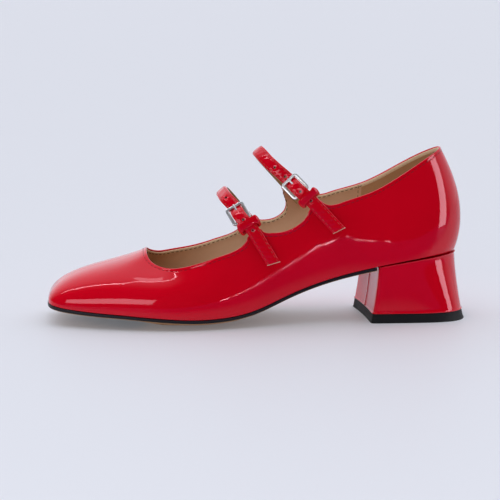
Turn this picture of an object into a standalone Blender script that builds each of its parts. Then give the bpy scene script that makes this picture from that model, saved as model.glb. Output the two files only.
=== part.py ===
"""Double-strap block-heel pump with a square toe, left shoe.

Axes: toe at -X, heel at +X, lateral (buckle) side at -Y, medial side at +Y, floor at Z = 0.
Lengths in this file are millimetres; make_object() turns them into metres.
"""

import math
from collections import namedtuple

import bmesh
import bpy
import numpy as np

MM = 0.001
CENTRE = (-0.56, -2.25, 0.0)     # middle of the shoe's box in the lengths below, moved to the origin

# ---- driving sizes ------------------------------------------------------------------------
GAP = 0.3                # clearance between pieces that touch
WALL = 1.8               # upper leather together with its lining
MARGIN_WIDTH = 9.0       # lasting margin turned in under the insole
MARGIN_THICK = 1.4
SOLE_THICK = 2.0
SOLE_GAP = 0.5
SOLE_PROUD = 0.3         # how far the sole edge stands out past the feather line
INSOLE_THICK = 2.0
INSOLE_INSET = 3.1       # from the feather line to the edge of the insole
LIFT_THICK = 5.6         # top lift, the wear piece under the heel
STRAP_WIDTH = 7.6
STRAP_THICK = 1.8
FLAT_SHARE = 0.3         # share of the sole's half width that is flat across
BOTTOM_ROLL = 2.2        # power of the rise from that flat to the feather line
WALL_LEAN = 14.0         # how far the feather line's own direction turns a wall line, against its lean

# ---- the last: one row for each section, from the toe to the back of the heel ---------------
# foot_*: feather line, where the wall meets the sole; tread_z: underside of the sole at centre
# rays: how many wall lines are laid from this section to the next
Foot = namedtuple("Foot", "rays x lat med z tread_z")
FOOT = [
    Foot(3, -125.0, 0.0, 0.0, 12.6, 9.4),
    Foot(3, -124.8, -9.5, 9.5, 12.6, 9.4),
    Foot(3, -122.9, -18.3, 17.8, 12.3, 8.9),
    Foot(3, -116.8, -24.6, 23.6, 11.5, 7.6),
    Foot(2, -106.5, -29.5, 27.8, 10.6, 5.6),
    Foot(2, -93.5, -33.9, 31.4, 9.8, 3.6),
    Foot(2, -80.0, -37.5, 34.3, 9.2, 1.1),
    Foot(3, -66.0, -40.1, 36.4, 8.2, 0.0),
    Foot(3, -51.0, -41.4, 36.6, 7.1, 0.0),
    Foot(3, -36.0, -40.7, 33.8, 6.5, 0.0),
    Foot(6, -19.0, -37.8, 28.9, 7.3, 1.4),
    Foot(6, -2.0, -34.4, 23.9, 11.0, 6.6),
    Foot(6, 15.0, -31.4, 20.9, 18.3, 14.9),
    Foot(5, 32.0, -29.0, 19.9, 24.9, 21.7),
    Foot(3, 49.0, -27.5, 20.6, 29.8, 26.8),
    Foot(2, 66.0, -27.0, 22.6, 33.6, 30.7),
    Foot(2, 83.0, -26.6, 24.6, 36.8, 33.9),
    Foot(3, 99.0, -23.2, 22.4, 39.0, 36.1),
    Foot(3, 112.5, -14.4, 14.2, 40.1, 37.2),
    Foot(3, 119.3, 0.0, 0.0, 40.4, 37.5),
]

# top_*: the topline without its ears, on the same sections
Top = namedtuple("Top", "x lat med lat_z med_z")
TOP = [
    Top(-66.5, 0.0, 0.0, 42.0, 42.0),
    Top(-66.5, -3.6, 3.6, 41.9, 41.9),
    Top(-66.4, -7.0, 7.0, 41.5, 41.6),
    Top(-66.2, -10.3, 10.4, 40.9, 41.1),
    Top(-65.6, -13.4, 13.6, 39.8, 40.3),
    Top(-64.2, -16.8, 17.2, 38.0, 38.8),
    Top(-61.2, -20.6, 21.2, 36.1, 37.2),
    Top(-56.5, -24.7, 25.4, 35.0, 36.4),
    Top(-49.0, -29.3, 29.9, 35.2, 36.8),
    Top(-37.0, -32.4, 32.6, 38.2, 38.4),
    Top(-22.5, -33.5, 33.2, 43.3, 42.6),
    Top(-7.0, -33.3, 32.4, 49.8, 48.6),
    Top(8.5, -32.5, 31.2, 56.1, 53.9),
    Top(29.0, -31.1, 29.6, 65.0, 63.6),
    Top(48.0, -28.9, 28.4, 73.1, 71.7),
    Top(66.0, -25.0, 24.8, 78.6, 77.6),
    Top(83.0, -21.4, 21.4, 87.4, 86.6),
    Top(97.0, -16.0, 16.4, 95.6, 95.0),
    Top(106.4, -8.8, 9.0, 100.6, 100.3),
    Top(109.4, 0.0, 0.0, 102.2, 102.2),
]

# bulge, rise: first control of the wall line, out from and above the feather line
# mid_in, mid_out, mid_up: middle control, as a share of the way in, millimetres out, and up
# reach, drop: last control, out from and below the topline
Wall = namedtuple("Wall", "bulge rise mid_in mid_out mid_up reach drop")
WALLS = [
    Wall(1.3, 5.9, 0.16, 0.0, 20.7, 17.3, 10.5),
    Wall(1.3, 5.9, 0.16, 0.0, 20.5, 17.2, 10.3),
    Wall(1.3, 5.8, 0.16, 0.0, 19.7, 16.5, 9.4),
    Wall(1.4, 5.8, 0.16, 0.0, 19.4, 16.0, 8.4),
    Wall(1.5, 6.0, 0.16, 0.3, 20.2, 15.0, 7.4),
    Wall(1.8, 6.5, 0.17, 0.8, 21.0, 13.0, 6.6),
    Wall(2.0, 7.0, 0.19, 1.2, 21.2, 10.0, 6.2),
    Wall(2.3, 7.4, 0.21, 1.6, 20.4, 7.2, 6.2),
    Wall(2.6, 7.6, 0.24, 2.0, 19.4, 5.0, 6.8),
    Wall(2.8, 8.0, 0.28, 2.4, 19.8, 3.6, 8.0),
    Wall(3.0, 8.5, 0.34, 2.3, 21.5, 2.0, 9.5),
    Wall(3.2, 9.5, 0.40, 2.0, 23.0, 1.0, 11.0),
    Wall(3.2, 10.0, 0.45, 1.9, 23.5, 0.9, 12.0),
    Wall(3.0, 10.0, 0.48, 1.9, 24.0, 0.9, 12.5),
    Wall(2.8, 10.0, 0.50, 2.3, 25.0, 1.9, 13.0),
    Wall(2.6, 10.5, 0.48, 2.4, 26.0, 3.0, 13.5),
    Wall(2.4, 11.0, 0.42, 2.4, 27.5, 3.6, 14.5),
    Wall(3.2, 12.4, 0.36, 3.2, 29.2, 5.6, 15.6),
    Wall(4.6, 13.6, 0.30, 5.2, 30.2, 8.4, 17.2),
    Wall(5.7, 14.5, 0.26, 6.6, 30.5, 10.2, 18.4),
]

# ---- heel -----------------------------------------------------------------------------------
BREAST_TOP = (70.4, 65.0)      # X of the breast under the upper: lateral, medial
BREAST_BASE = (66.4, 61.0)     # X of the breast at the floor
BREAST_HOLLOW = 0.9
SOLE_END = 1.2                 # the sole stops this far short of the breast
BREAST_SHARE = 0.3             # share of the heel's plan rows between the breast and HEEL_SPRING_X
HEEL_SPRING_X = 84.0           # from here back the heel's plan turns round
HEEL_BASE_BACK = 124.2
HEEL_TOP_BACK = 119.0
HEEL_TOP_HALF = (-26.6, 24.5)
HEEL_BASE_HALF = (-26.2, 26.0)
HEEL_FLARE_POWER = 1.45        # the flare gathers towards the base
HEEL_TOP_ROUND = 2.0           # superellipse powers of the plan behind HEEL_SPRING_X
HEEL_BASE_ROUND = 3.6

# ---- buckles --------------------------------------------------------------------------------
FRAME_SPAN = 10.6              # between the centres of the hinge bar and the far bar
FRAME_HALF = 5.1               # from the frame's middle to the centre of a side bar
FRAME_CORNER = 1.1
BAR_RADIUS = 0.85
PRONG_RADIUS = 0.55
PRONG_WRAP = BAR_RADIUS + GAP + PRONG_RADIUS
CHAPE_THICK = 0.9
CHAPE_WRAP = BAR_RADIUS + GAP + CHAPE_THICK / 2
CHAPE_WIDTH = 7.0
CHAPE_SLOT = 2.2               # width of the slot that lets the prong through
CHAPE_SLOT_BOX = (8.0, 7.0)    # along the strap and out from it, enough to cut the whole fold
CHAPE_SLOT_SETBACK = 3.2
CHAPE_EASE = 0.45              # between the strap and the chape's leg beneath it
CHAPE_MARKS = (2.6, 4.4, 6.4, 8.6, 10.8, 13.0)  # along the leg, from the hinge bar
KEEPER_AFTER_HINGE = 5.9
KEEPER_SHIFT = 0.5             # the loose keeper has slid this far towards the heel
KEEPER_BAND = 5.6
KEEPER_THICK = 1.2
KEEPER_EASE = 0.8              # room between the strap and the keeper
KEEPER_INSIDE = 5.0            # inside height of the keeper
KEEPER_HALF = 5.9              # half of its length across the strap, to the band's middle
HOLE_PITCH = 8.3
HOLE_RADIUS = 0.8
PUNCH_OVERRUN = 1.0            # how far a punch runs past both faces of the strap
PIN_PUNCH_REACH = 4.0          # how far the prong's punch runs past the far bar
PIN_EASE = 0.05                # extra room round the prong in its hole
PRONG_TURN = (-50, -270)       # degrees round the hinge bar, from the prong's end to its shank
CHAPE_TURN = (-135, 85)        # degrees round the hinge bar, from the chape's end to its leg
TURN_STEP = 20

# One row of a strap's route: the middle of its outer face, and the rake of its direction
Stop = namedtuple("Stop", "x y z rake")
# Run over the buckle: along from the hinge bar, out from the bars, and the share of the strap's
# drift towards the heel that is reached there
BUCKLE_RUN = [(12.6, -2.1, 0.0), (10.6, -1.75, 0.0), (8.9, 0.0, 0.0), (5.6, 3.4, 0.0),
              (2.5, 4.3, 0.0), (-1.0, 4.4, 0.2), (-4.4, 3.2, 0.55), (-7.5, 1.2, 1.0)]
HINGE_STOP = 5                 # the row of the run that passes over the hinge bar

Strap = namedtuple("Strap", "name hinge along out before after drift lap_top "
                            "pin_hole hole_count hole_shift")
STRAPS = [
    Strap(
        name="front",
        hinge=(-10.5, -30.0, 63.1),
        along=(-0.408, 0.610, 0.679),
        out=(-0.280, -0.792, 0.543),
        before=[
            Stop(-1.8, 27.7, 50.0, 56.0),
            Stop(-6.2, 28.0, 56.4, 55.0),
            Stop(-11.4, 26.2, 63.4, 53.0),
            Stop(-16.2, 21.8, 69.6, 51.0),
            Stop(-19.6, 15.2, 73.9, 50.0),
            Stop(-21.3, 7.8, 76.0, 50.0),
            Stop(-21.7, 0.0, 76.7, 50.0),
            Stop(-21.0, -8.0, 76.2, 51.0),
            Stop(-19.4, -15.4, 74.6, 54.0),
        ],
        after=[
            Stop(-2.6, -36.2, 55.0, 58.0),
            Stop(1.4, -37.1, 48.2, 58.0),
            Stop(7.4, -37.8, 38.6, 58.0),
        ],
        drift=2.2,
        lap_top=(-6.8, 57.2),
        pin_hole=2,
        hole_count=5,
        hole_shift=2.0,
    ),
    Strap(
        name="rear",
        hinge=(23.9, -29.5, 79.0),
        along=(-0.652, 0.376, 0.659),
        out=(-0.235, -0.926, 0.297),
        before=[
            Stop(28.6, 25.9, 66.6, 47.0),
            Stop(23.4, 26.1, 72.8, 47.0),
            Stop(17.4, 25.0, 79.8, 47.0),
            Stop(10.8, 22.0, 87.3, 48.0),
            Stop(5.0, 16.4, 94.0, 48.0),
            Stop(1.2, 8.6, 99.0, 49.0),
            Stop(-0.2, 0.0, 101.0, 49.0),
            Stop(1.4, -8.4, 99.8, 48.0),
            Stop(5.2, -15.4, 96.0, 47.0),
            Stop(9.8, -19.6, 92.0, 46.0),
        ],
        after=[
            Stop(31.6, -34.3, 72.5, 47.0),
            Stop(38.2, -34.9, 65.4, 47.0),
            Stop(45.8, -35.2, 57.2, 47.0),
        ],
        drift=0.9,
        lap_top=(19.8, 76.7),
        pin_hole=2,
        hole_count=5,
        hole_shift=0.0,
    ),
]
EAR_TOP_AFTER_HINGE = 11.9     # the lateral ears end just past the keeper
EAR_BACK_EXTRA = 0.3           # an ear is this much wider than its strap on the heel side

# Where each ear springs from the topline, how steep the topline is there, how far the ear stands
# out past its strap on the toe side, how far its top lies forward of its own wall lines, and how
# hollow its sides are
Spring = namedtuple("Spring", "strap side front_x front_slope back_x back_slope front_extra "
                              "leans hollow")
SPRINGS = [
    Spring("front", -1, -27.0, 0.36, 8.5, -0.02, 2.6, (2.0, 2.0), 0.36),
    Spring("rear", -1, 8.5, -0.02, 46.0, 0.18, 2.4, (3.0, 2.0), 0.46),
    Spring("front", 1, -24.0, 0.30, 8.5, 0.10, 0.3, (3.0, 2.0), 0.5),
    Spring("rear", 1, 8.5, 0.15, 44.0, 0.20, 0.3, (8.0, 7.0), 0.5),
]
TAIL_SLANT = 2.2               # the strap's end is cut on a slight slant
SLANT_FROM = 0.85              # share of the strap's length where the slant begins to tell
EAR_ROWS = (9.0, 15.0)         # sections between which the topline may carry ears
EAR_MARGIN = 0.5               # sections of plain wall kept on both sides of them
KEEPER_CORNER = 1.6

# ---- facets -----------------------------------------------------------------------------------
WALL_STEPS = 60
BAR_SIDES = 8
PRONG_SIDES = 6
PUNCH_SIDES = 8
CORNER_STEPS = 3
END_CROWDING = 0.25            # rows of a sole plate gather towards the toe by this share

# ---- materials: base colour, metallic, roughness ---------------------------------------------
FINISHES = {
    "patent_red": ((0.52, 0.004, 0.018), 0.0, 0.08),
    "lining_tan": ((0.42, 0.25, 0.14), 0.0, 0.55),
    "sole_black": ((0.02, 0.018, 0.016), 0.0, 0.5),
    "plated_steel": ((0.75, 0.77, 0.77), 1.0, 0.2),
}


# ---- curves -----------------------------------------------------------------------------------
def catmull(rows, u, closed=False):
    """Point at u (in rows) on the Catmull-Rom curve through the rows."""
    count = len(rows)
    i = int(math.floor(u))
    if not closed:
        i = min(max(i, 0), count - 2)
    t = u - i

    def row(k):
        if closed:
            return rows[k % count]
        if k < 0:
            return 2 * rows[0] - rows[1]
        if k >= count:
            return 2 * rows[-1] - rows[-2]
        return rows[k]

    a, b, c, d = row(i - 1), row(i), row(i + 1), row(i + 2)
    return 0.5 * (2 * b + (c - a) * t + (2 * a - 5 * b + 4 * c - d) * t ** 2
                  + (3 * b - a - 3 * c + d) * t ** 3)


def monotone(xs, ys, x):
    """Cubic through (xs, ys) that never overshoots its rows, so level stretches stay level."""
    x = min(max(x, xs[0]), xs[-1])
    i = min(int(np.searchsorted(xs, x, side="right")) - 1, len(xs) - 2)
    slopes = np.diff(ys) / np.diff(xs)

    def tangent(k):
        if k == 0:
            return slopes[0]
        if k == len(xs) - 1:
            return slopes[-1]
        before, after = slopes[k - 1], slopes[k]
        if before * after <= 0:
            return 0.0
        return 2 * before * after / (before + after)

    h = xs[i + 1] - xs[i]
    t = (x - xs[i]) / h
    return ((2 * t ** 3 - 3 * t ** 2 + 1) * ys[i] + (t ** 3 - 2 * t ** 2 + t) * h * tangent(i)
            + (3 * t ** 2 - 2 * t ** 3) * ys[i + 1] + (t ** 3 - t ** 2) * h * tangent(i + 1))


def bezier(controls, t):
    """Point at t on the Bezier curve of the controls."""
    degree = len(controls) - 1
    return sum(math.comb(degree, k) * t ** k * (1 - t) ** (degree - k) * controls[k]
               for k in range(degree + 1))


def unit(vector):
    return vector / np.linalg.norm(vector)


def resample(points, shares):
    """Points at the given shares of a polyline's length."""
    points = np.array(points)
    steps = np.linalg.norm(np.diff(points, axis=0), axis=1)
    length = np.concatenate(([0.0], np.cumsum(steps)))
    wanted = np.array(shares) * length[-1]
    return np.column_stack([np.interp(wanted, length, points[:, k]) for k in range(3)])


# ---- solids -----------------------------------------------------------------------------------
def make_object(name, bm, finish):
    """Closed mesh in metres with its own material and outward faces."""
    bmesh.ops.remove_doubles(bm, verts=bm.verts, dist=1e-3)
    bmesh.ops.dissolve_degenerate(bm, edges=bm.edges, dist=1e-4)
    bmesh.ops.recalc_face_normals(bm, faces=bm.faces)
    if bm.calc_volume(signed=True) < 0:
        bmesh.ops.reverse_faces(bm, faces=bm.faces)
    bmesh.ops.triangulate(bm, faces=bm.faces)
    bmesh.ops.translate(bm, vec=[-c for c in CENTRE], verts=bm.verts)
    bmesh.ops.scale(bm, vec=(MM, MM, MM), verts=bm.verts)
    mesh = bpy.data.meshes.new(name)
    bm.to_mesh(mesh)
    bm.free()
    mesh.shade_smooth()
    mesh.set_sharp_from_angle(angle=math.radians(35))
    colour, metallic, roughness = FINISHES[finish]
    material = bpy.data.materials.new(name)
    material.use_nodes = True
    shader = material.node_tree.nodes["Principled BSDF"]
    shader.inputs["Base Color"].default_value = (*colour, 1.0)
    shader.inputs["Metallic"].default_value = metallic
    shader.inputs["Roughness"].default_value = roughness
    mesh.materials.append(material)
    obj = bpy.data.objects.new(name, mesh)
    bpy.context.scene.collection.objects.link(obj)
    return obj


def grid_solid(grid, wrap_rows):
    """Skin between rings of equal length; the rings are closed, and so is their row if wrapped."""
    bm = bmesh.new()
    verts = [[bm.verts.new(point) for point in ring] for ring in grid]
    count = len(grid[0])
    last = len(grid) if wrap_rows else len(grid) - 1
    for i in range(last):
        ring, following = verts[i], verts[(i + 1) % len(grid)]
        for j in range(count):
            k = (j + 1) % count
            bm.faces.new((ring[j], ring[k], following[k], following[j]))
    if not wrap_rows:
        bm.faces.new(verts[0][::-1])
        bm.faces.new(verts[-1])
    return bm


def box_solid(place, rows, columns, levels, ends=(True, True)):
    """Box bent to shape: place(a, b, c) takes shares of length, breadth and height from 0 to 1.

    An end is left off where the box's two edges meet there in one line.
    """
    bm = bmesh.new()

    def face_grid(point, first, second):
        net = [[bm.verts.new(point(i / first, j / second)) for j in range(second + 1)]
               for i in range(first + 1)]
        for i in range(first):
            for j in range(second):
                bm.faces.new((net[i][j], net[i + 1][j], net[i + 1][j + 1], net[i][j + 1]))

    face_grid(lambda a, b: place(a, b, 0.0), rows, columns)
    face_grid(lambda a, b: place(a, b, 1.0), rows, columns)
    face_grid(lambda a, c: place(a, 0.0, c), rows, levels)
    face_grid(lambda a, c: place(a, 1.0, c), rows, levels)
    for a, present in zip((0.0, 1.0), ends):
        if present:
            face_grid(lambda b, c: place(a, b, c), columns, levels)
    return bm


# ---- the last ---------------------------------------------------------------------------------
LAST_ROW = len(FOOT) - 1
LATERAL, MEDIAL = -1, 1


def closed_rail(lateral, medial):
    """Rows once round the shoe: lateral side to the heel, then the medial side back."""
    return [np.array(p, float) for p in lateral + medial[-2:0:-1]]


FOOT_RAIL = closed_rail([(r.x, r.lat, r.z) for r in FOOT], [(r.x, r.med, r.z) for r in FOOT])
TOP_RAIL = closed_rail([(r.x, r.lat, r.lat_z) for r in TOP], [(r.x, r.med, r.med_z) for r in TOP])
WALL_RAIL = closed_rail([tuple(r) for r in WALLS], [tuple(r) for r in WALLS])


def rail_place(side, u):
    """Place on a closed rail of section number u on one side."""
    return u if side < 0 else (2 * LAST_ROW - u) % (2 * LAST_ROW)


def foot_point(side, u):
    return catmull(FOOT_RAIL, rail_place(side, u), closed=True)


def foot_normal(side, u):
    """Level direction out of the feather line."""
    place = rail_place(side, u)
    ahead = catmull(FOOT_RAIL, place + 0.02, closed=True)
    behind = catmull(FOOT_RAIL, place - 0.02, closed=True)
    along = ahead - behind
    return unit(np.array([along[1], -along[0], 0.0]))


FOOT_X = np.array([r.x for r in FOOT])
MIDLINE = np.array([(r.lat + r.med) / 2 for r in FOOT])
TREAD = np.array([r.tread_z for r in FOOT])
SPINE_FRONT = -103.0
SPINE_BACK = 100.0


def tread_height(x):
    """Underside of the sole at its middle: level at the ball, rising to the toe and the arch."""
    return monotone(FOOT_X, TREAD, x)


def spine_point(x):
    """Middle of the last's bottom, kept clear of the toe and heel ends."""
    x = min(max(x, SPINE_FRONT), SPINE_BACK)
    return np.array([x, monotone(FOOT_X, MIDLINE, x), 0.0])


def bottom_point(side, u, inset, share, spine):
    """Underside of the upper: share 1 at the inset edge, 0 at the spine."""
    edge = foot_point(side, u) - foot_normal(side, u) * inset
    point = spine + (edge - spine) * share
    raised = edge[2] - tread_height(edge[0]) - SOLE_THICK - SOLE_GAP
    across = max(0.0, (share - FLAT_SHARE) / (1 - FLAT_SHARE)) ** BOTTOM_ROLL
    point[2] = tread_height(point[0]) + SOLE_THICK + SOLE_GAP + raised * across
    return point


# ---- strap routes ------------------------------------------------------------------------------
class Route:
    """A strap's outer face: its middle line, the direction across and the way out."""

    def __init__(self, strap):
        self.strap = strap
        hinge, along, out = (np.array(v, float) for v in (strap.hinge, strap.along, strap.out))
        self.hinge, self.along = hinge, unit(along)
        self.out = unit(out - self.along * (out @ self.along))
        self.across = np.cross(self.along, self.out)
        if self.across[0] < 0:
            self.across = -self.across
        frame_rake = math.degrees(math.atan2(self.across[0], self.across[2]))
        rows = [np.array(stop, float) for stop in strap.before]
        for reach, rise, share in BUCKLE_RUN:
            rows.append(np.append(self.in_frame(reach, strap.drift * share, rise), frame_rake))
        rows += [np.array(stop, float) for stop in strap.after]
        dense = [catmull(rows, u) for u in np.linspace(0, len(rows) - 1, 24 * len(rows))]
        self.points = np.array([p[:3] for p in dense])
        self.rakes = np.array([p[3] for p in dense])
        steps = np.linalg.norm(np.diff(self.points, axis=0), axis=1)
        self.marks = np.concatenate(([0.0], np.cumsum(steps)))
        self.length = self.marks[-1]
        away = np.linalg.norm(self.points - (hinge + self.out * BUCKLE_RUN[HINGE_STOP][1]), axis=1)
        self.hinge_mark = self.marks[int(np.argmin(away))]
        self.pin_mark = self.hinge_mark - HOLE_PITCH + strap.hole_shift

    def middle(self, mark):
        return np.array([np.interp(mark, self.marks, self.points[:, k]) for k in range(3)])

    def axes(self, mark):
        """Direction along, across (towards the heel) and out of the strap's face."""
        along = unit(self.middle(min(mark + 0.8, self.length)) - self.middle(max(mark - 0.8, 0.0)))
        rake = math.radians(float(np.interp(mark, self.marks, self.rakes)))
        across = np.array([math.sin(rake), 0.0, math.cos(rake)])
        across = unit(across - along * (across @ along))
        return along, across, np.cross(along, across)

    def place(self, mark, across, out):
        along_axis, across_axis, out_axis = self.axes(mark)
        return self.middle(mark) + across_axis * across + out_axis * out

    def in_frame(self, reach, across, out):
        """Point in the rigid axes of the buckle, from the middle of its hinge bar."""
        return self.hinge + self.along * reach + self.across * across + self.out * out

    def mark_near(self, x, z):
        """Mark on the lap side of the route closest to a place seen from the side."""
        gaps = np.hypot(self.points[:, 0] - x, self.points[:, 2] - z)
        half = len(gaps) // 2
        return self.marks[int(np.argmin(gaps[:half]))]


ROUTES = [Route(strap) for strap in STRAPS]


# ---- topline with its ears -----------------------------------------------------------------------
def base_top(side, u):
    """Topline without its ears."""
    return catmull(TOP_RAIL, rail_place(side, u), closed=True)


def wall_line(side, u):
    """Controls of the wall from the feather line to the topline without its ears."""
    wall = Wall(*catmull(WALL_RAIL, rail_place(side, u), closed=True))
    foot = foot_point(side, u)
    top = base_top(side, u)
    level = np.array([1.0, 1.0, 0.0])
    up = np.array([0.0, 0.0, 1.0])
    normal = foot_normal(side, u)
    out = unit((foot - top) * level + normal * WALL_LEAN)
    middle = foot * (1 - wall.mid_in) + top * wall.mid_in
    middle = middle * level + out * wall.mid_out + up * (foot[2] + wall.mid_up)
    return [foot, foot + normal * wall.bulge + up * wall.rise, middle,
            top + out * wall.reach - up * wall.drop, top]


class Ear:
    """Raised part of the topline that carries a strap's lap or a buckle's chape."""

    def __init__(self, route, spring):
        self.side = spring.side
        if self.side < 0:
            mark = route.hinge_mark + EAR_TOP_AFTER_HINGE
            depth = -(STRAP_THICK + CHAPE_EASE + CHAPE_THICK + GAP)
        else:
            mark = route.mark_near(*route.strap.lap_top)
            depth = GAP + WALL
        self.corners = [route.place(mark, -STRAP_WIDTH / 2 - spring.front_extra, depth),
                        route.place(mark, STRAP_WIDTH / 2 + EAR_BACK_EXTRA, depth)]
        self.down = route.axes(mark)[0] * -self.side
        self.shoulders = [self.section(corner[0] + lean)
                          for corner, lean in zip(self.corners, spring.leans)]
        self.feet = [self.section(spring.front_x), self.section(spring.back_x)]
        self.slopes = (spring.front_slope, spring.back_slope)
        self.hollow = spring.hollow

    def section(self, x):
        """Section number where the topline reaches a place along the shoe."""
        rows = np.linspace(*EAR_ROWS, 300)
        return float(np.interp(x, [base_top(self.side, u)[0] for u in rows], rows))

    def covers(self, u):
        return self.feet[0] < u < self.feet[1]

    def outline(self, u):
        """Topline at section u: across the ear's top, or down one of its hollow sides."""
        front, back = self.shoulders
        if front <= u <= back:
            share = (u - front) / (back - front)
            return self.corners[0] * (1 - share) + self.corners[1] * share
        end = 0 if u < front else 1
        top, foot = self.corners[end], base_top(self.side, self.feet[end])
        inward = unit(np.array([1.0, 0.0, self.slopes[end]])) * (1 - 2 * end)
        drop = np.linalg.norm(top - foot)
        controls = [top, top + self.down * drop * 0.5, foot + inward * drop * self.hollow, foot]
        edge = [bezier(controls, t) for t in np.linspace(0, 1, 40)]
        share = (u - self.shoulders[end]) / (self.feet[end] - self.shoulders[end])
        return resample(edge, [share])[0]


class Quarter:
    """One side of the upper, carried on smoothly above the topline to the tops of its ears."""

    def __init__(self, side, ears):
        self.side = side
        self.ears = ears
        controls = [wall_line(side, u)
                    for u in np.linspace(EAR_ROWS[0] - EAR_MARGIN, EAR_ROWS[1] + EAR_MARGIN, 80)]
        self.lines = [np.array([bezier(line, t) for t in np.linspace(0, 1, 40)]) for line in controls]
        self.tops = np.array([line[-1] for line in controls])
        ends = [line[-1] - line[-2] for line in controls]
        self.leans = [end[1] / end[2] for end in ends]
        corners = [corner for ear in ears for corner in ear.corners]
        self.corner_xs = [corner[0] for corner in corners]
        self.curls = [self.curl_to(corner) for corner in corners]

    def rise(self, x, z):
        """Height above the topline without ears."""
        return z - np.interp(x, self.tops[:, 0], self.tops[:, 2])

    def straight(self, x, z):
        """Straight continuation of the wall above the topline."""
        return (np.interp(x, self.tops[:, 0], self.tops[:, 1])
                + np.interp(x, self.tops[:, 0], self.leans) * self.rise(x, z))

    def curl_to(self, corner):
        """How sharply the wall bends above the topline, so as to pass through an ear's corner."""
        return (corner[1] - self.straight(corner[0], corner[2])) / self.rise(corner[0], corner[2]) ** 2

    def point(self, x, z):
        """Point of the wall's outer face at a place seen from the side."""
        if self.rise(x, z) > 0:
            curl = np.interp(x, self.corner_xs, self.curls)
            return np.array([x, self.straight(x, z) + curl * self.rise(x, z) ** 2, z])
        level = np.array([[np.interp(z, line[:, 2], line[:, k]) for k in (0, 1)] for line in self.lines])
        return np.array([x, np.interp(x, level[:, 0], level[:, 1]), z])

    def line(self, u):
        """Wall line from the feather line to the topline or to the edge of an ear."""
        line = np.array([bezier(wall_line(self.side, u), t) for t in np.linspace(0, 1, WALL_STEPS)])
        ear = next((ear for ear in self.ears if ear.covers(u)), None)
        if ear is None:
            return line
        edge = ear.outline(u)
        stretch = (edge[2] - line[0][2]) / (line[-1][2] - line[0][2])
        moved = [line[0]]
        for share, point in zip(np.linspace(0, 1, WALL_STEPS)[1:], line[1:]):
            x = point[0] + (edge[0] - line[-1][0]) * share ** 1.5
            moved.append(self.point(x, line[0][2] + (point[2] - line[0][2]) * stretch))
        return np.array(moved)


def make_quarter(side):
    ears = [Ear(route, spring) for route in ROUTES for spring in SPRINGS
            if (spring.strap, spring.side) == (route.strap.name, side)]
    return Quarter(side, ears)


QUARTERS = {side: make_quarter(side) for side in (LATERAL, MEDIAL)}


# ---- pieces ----------------------------------------------------------------------------------------
def ray_places():
    """Section numbers of the wall lines, once round the shoe."""
    marks = []
    for i, row in enumerate(FOOT[:-1]):
        marks += [i + k / row.rays for k in range(row.rays)]
    marks.append(float(LAST_ROW))
    return [(LATERAL, u) for u in marks] + [(MEDIAL, u) for u in marks[-2:0:-1]]


OUTER_SHARES = (0.0, 0.06, 0.12, 0.19, 0.27, 0.36, 0.47, 0.6, 0.73, 0.87, 1.0)
INNER_SHARES = (1.0, 0.86, 0.71, 0.55, 0.4, 0.27, 0.16, 0.08)


def outer_wall():
    """Outer skin: one wall line for each ray."""
    skin = []
    for side, u in ray_places():
        skin.append(resample(QUARTERS[side].line(u), OUTER_SHARES))
    return np.array(skin)


def rail_tangent(rail, side, u):
    """Direction once round the shoe along a closed rail."""
    place = rail_place(side, u)
    return unit(catmull(rail, place + 0.05, closed=True) - catmull(rail, place - 0.05, closed=True))


def skin_normals(skin):
    """Outward normals of the outer skin, ray by ray; the ears follow the wall that they stand on."""
    normals = []
    for line, (side, u) in zip(skin, ray_places()):
        low, high = rail_tangent(FOOT_RAIL, side, u), rail_tangent(TOP_RAIL, side, u)
        up = np.gradient(line, axis=0)
        around = np.array([low * (1 - share) + high * share for share in OUTER_SHARES])
        normal = np.cross(around, up)
        normals.append(normal / np.linalg.norm(normal, axis=1, keepdims=True))
    return np.array(normals)


def make_upper():
    skin = outer_wall()
    normals = skin_normals(skin)
    rings = []
    for ray, (side, u) in enumerate(ray_places()):
        inner = skin[ray] - normals[ray] * WALL
        ring = list(skin[ray])
        for share in INNER_SHARES:
            ring.append([np.interp(share, OUTER_SHARES, inner[:, k]) for k in range(3)])
        foot = foot_point(side, u)
        spine = spine_point(foot[0])
        turn = foot - foot_normal(side, u) * WALL
        turn[2] += MARGIN_THICK
        ring.append(turn)
        width = np.linalg.norm((foot - spine)[:2])
        share = 1 - min(MARGIN_WIDTH, 0.75 * width) / width
        margin = bottom_point(side, u, 0.0, share, spine)
        ring.append(margin + np.array([0.0, 0.0, MARGIN_THICK]))
        ring.append(margin)
        rings.append(ring)
    return make_object("upper", grid_solid(rings, wrap_rows=True), "patent_red")


def plate(name, finish, inset, lift, thickness, ends, rows, columns):
    """Plate on the last's bottom: lift is the height of its top face over that bottom."""

    def place(a, b, c):
        along = a * a * END_CROWDING + a * (1 - END_CROWDING)
        lateral, medial = along * ends[0], along * ends[1]
        x_mid = (foot_point(LATERAL, lateral)[0] + foot_point(MEDIAL, medial)[0]) / 2
        side, u = (LATERAL, lateral) if b < 0.5 else (MEDIAL, medial)
        point = bottom_point(side, u, inset, abs(2 * b - 1), spine_point(x_mid))
        point[2] += lift - thickness * (1 - c)
        return point

    pointed_back = ends[0] == LAST_ROW
    bm = box_solid(place, rows, columns, 1, ends=(False, not pointed_back))
    return make_object(name, bm, finish)


def section_at(side, x):
    """Section number where the feather line reaches a place along the shoe."""
    us = np.linspace(10, LAST_ROW, 400)
    return float(np.interp(x, [foot_point(side, u)[0] for u in us], us))


def make_outsole():
    ends = [section_at(side, x - SOLE_END) for side, x in zip((LATERAL, MEDIAL), BREAST_TOP)]
    return plate("outsole", "sole_black", -SOLE_PROUD, -SOLE_GAP, SOLE_THICK, ends, 34, 8)


def make_insole():
    lift = MARGIN_THICK + GAP + INSOLE_THICK
    return plate("insole", "lining_tan", INSOLE_INSET, lift, INSOLE_THICK, (LAST_ROW, LAST_ROW), 40, 4)


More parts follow.
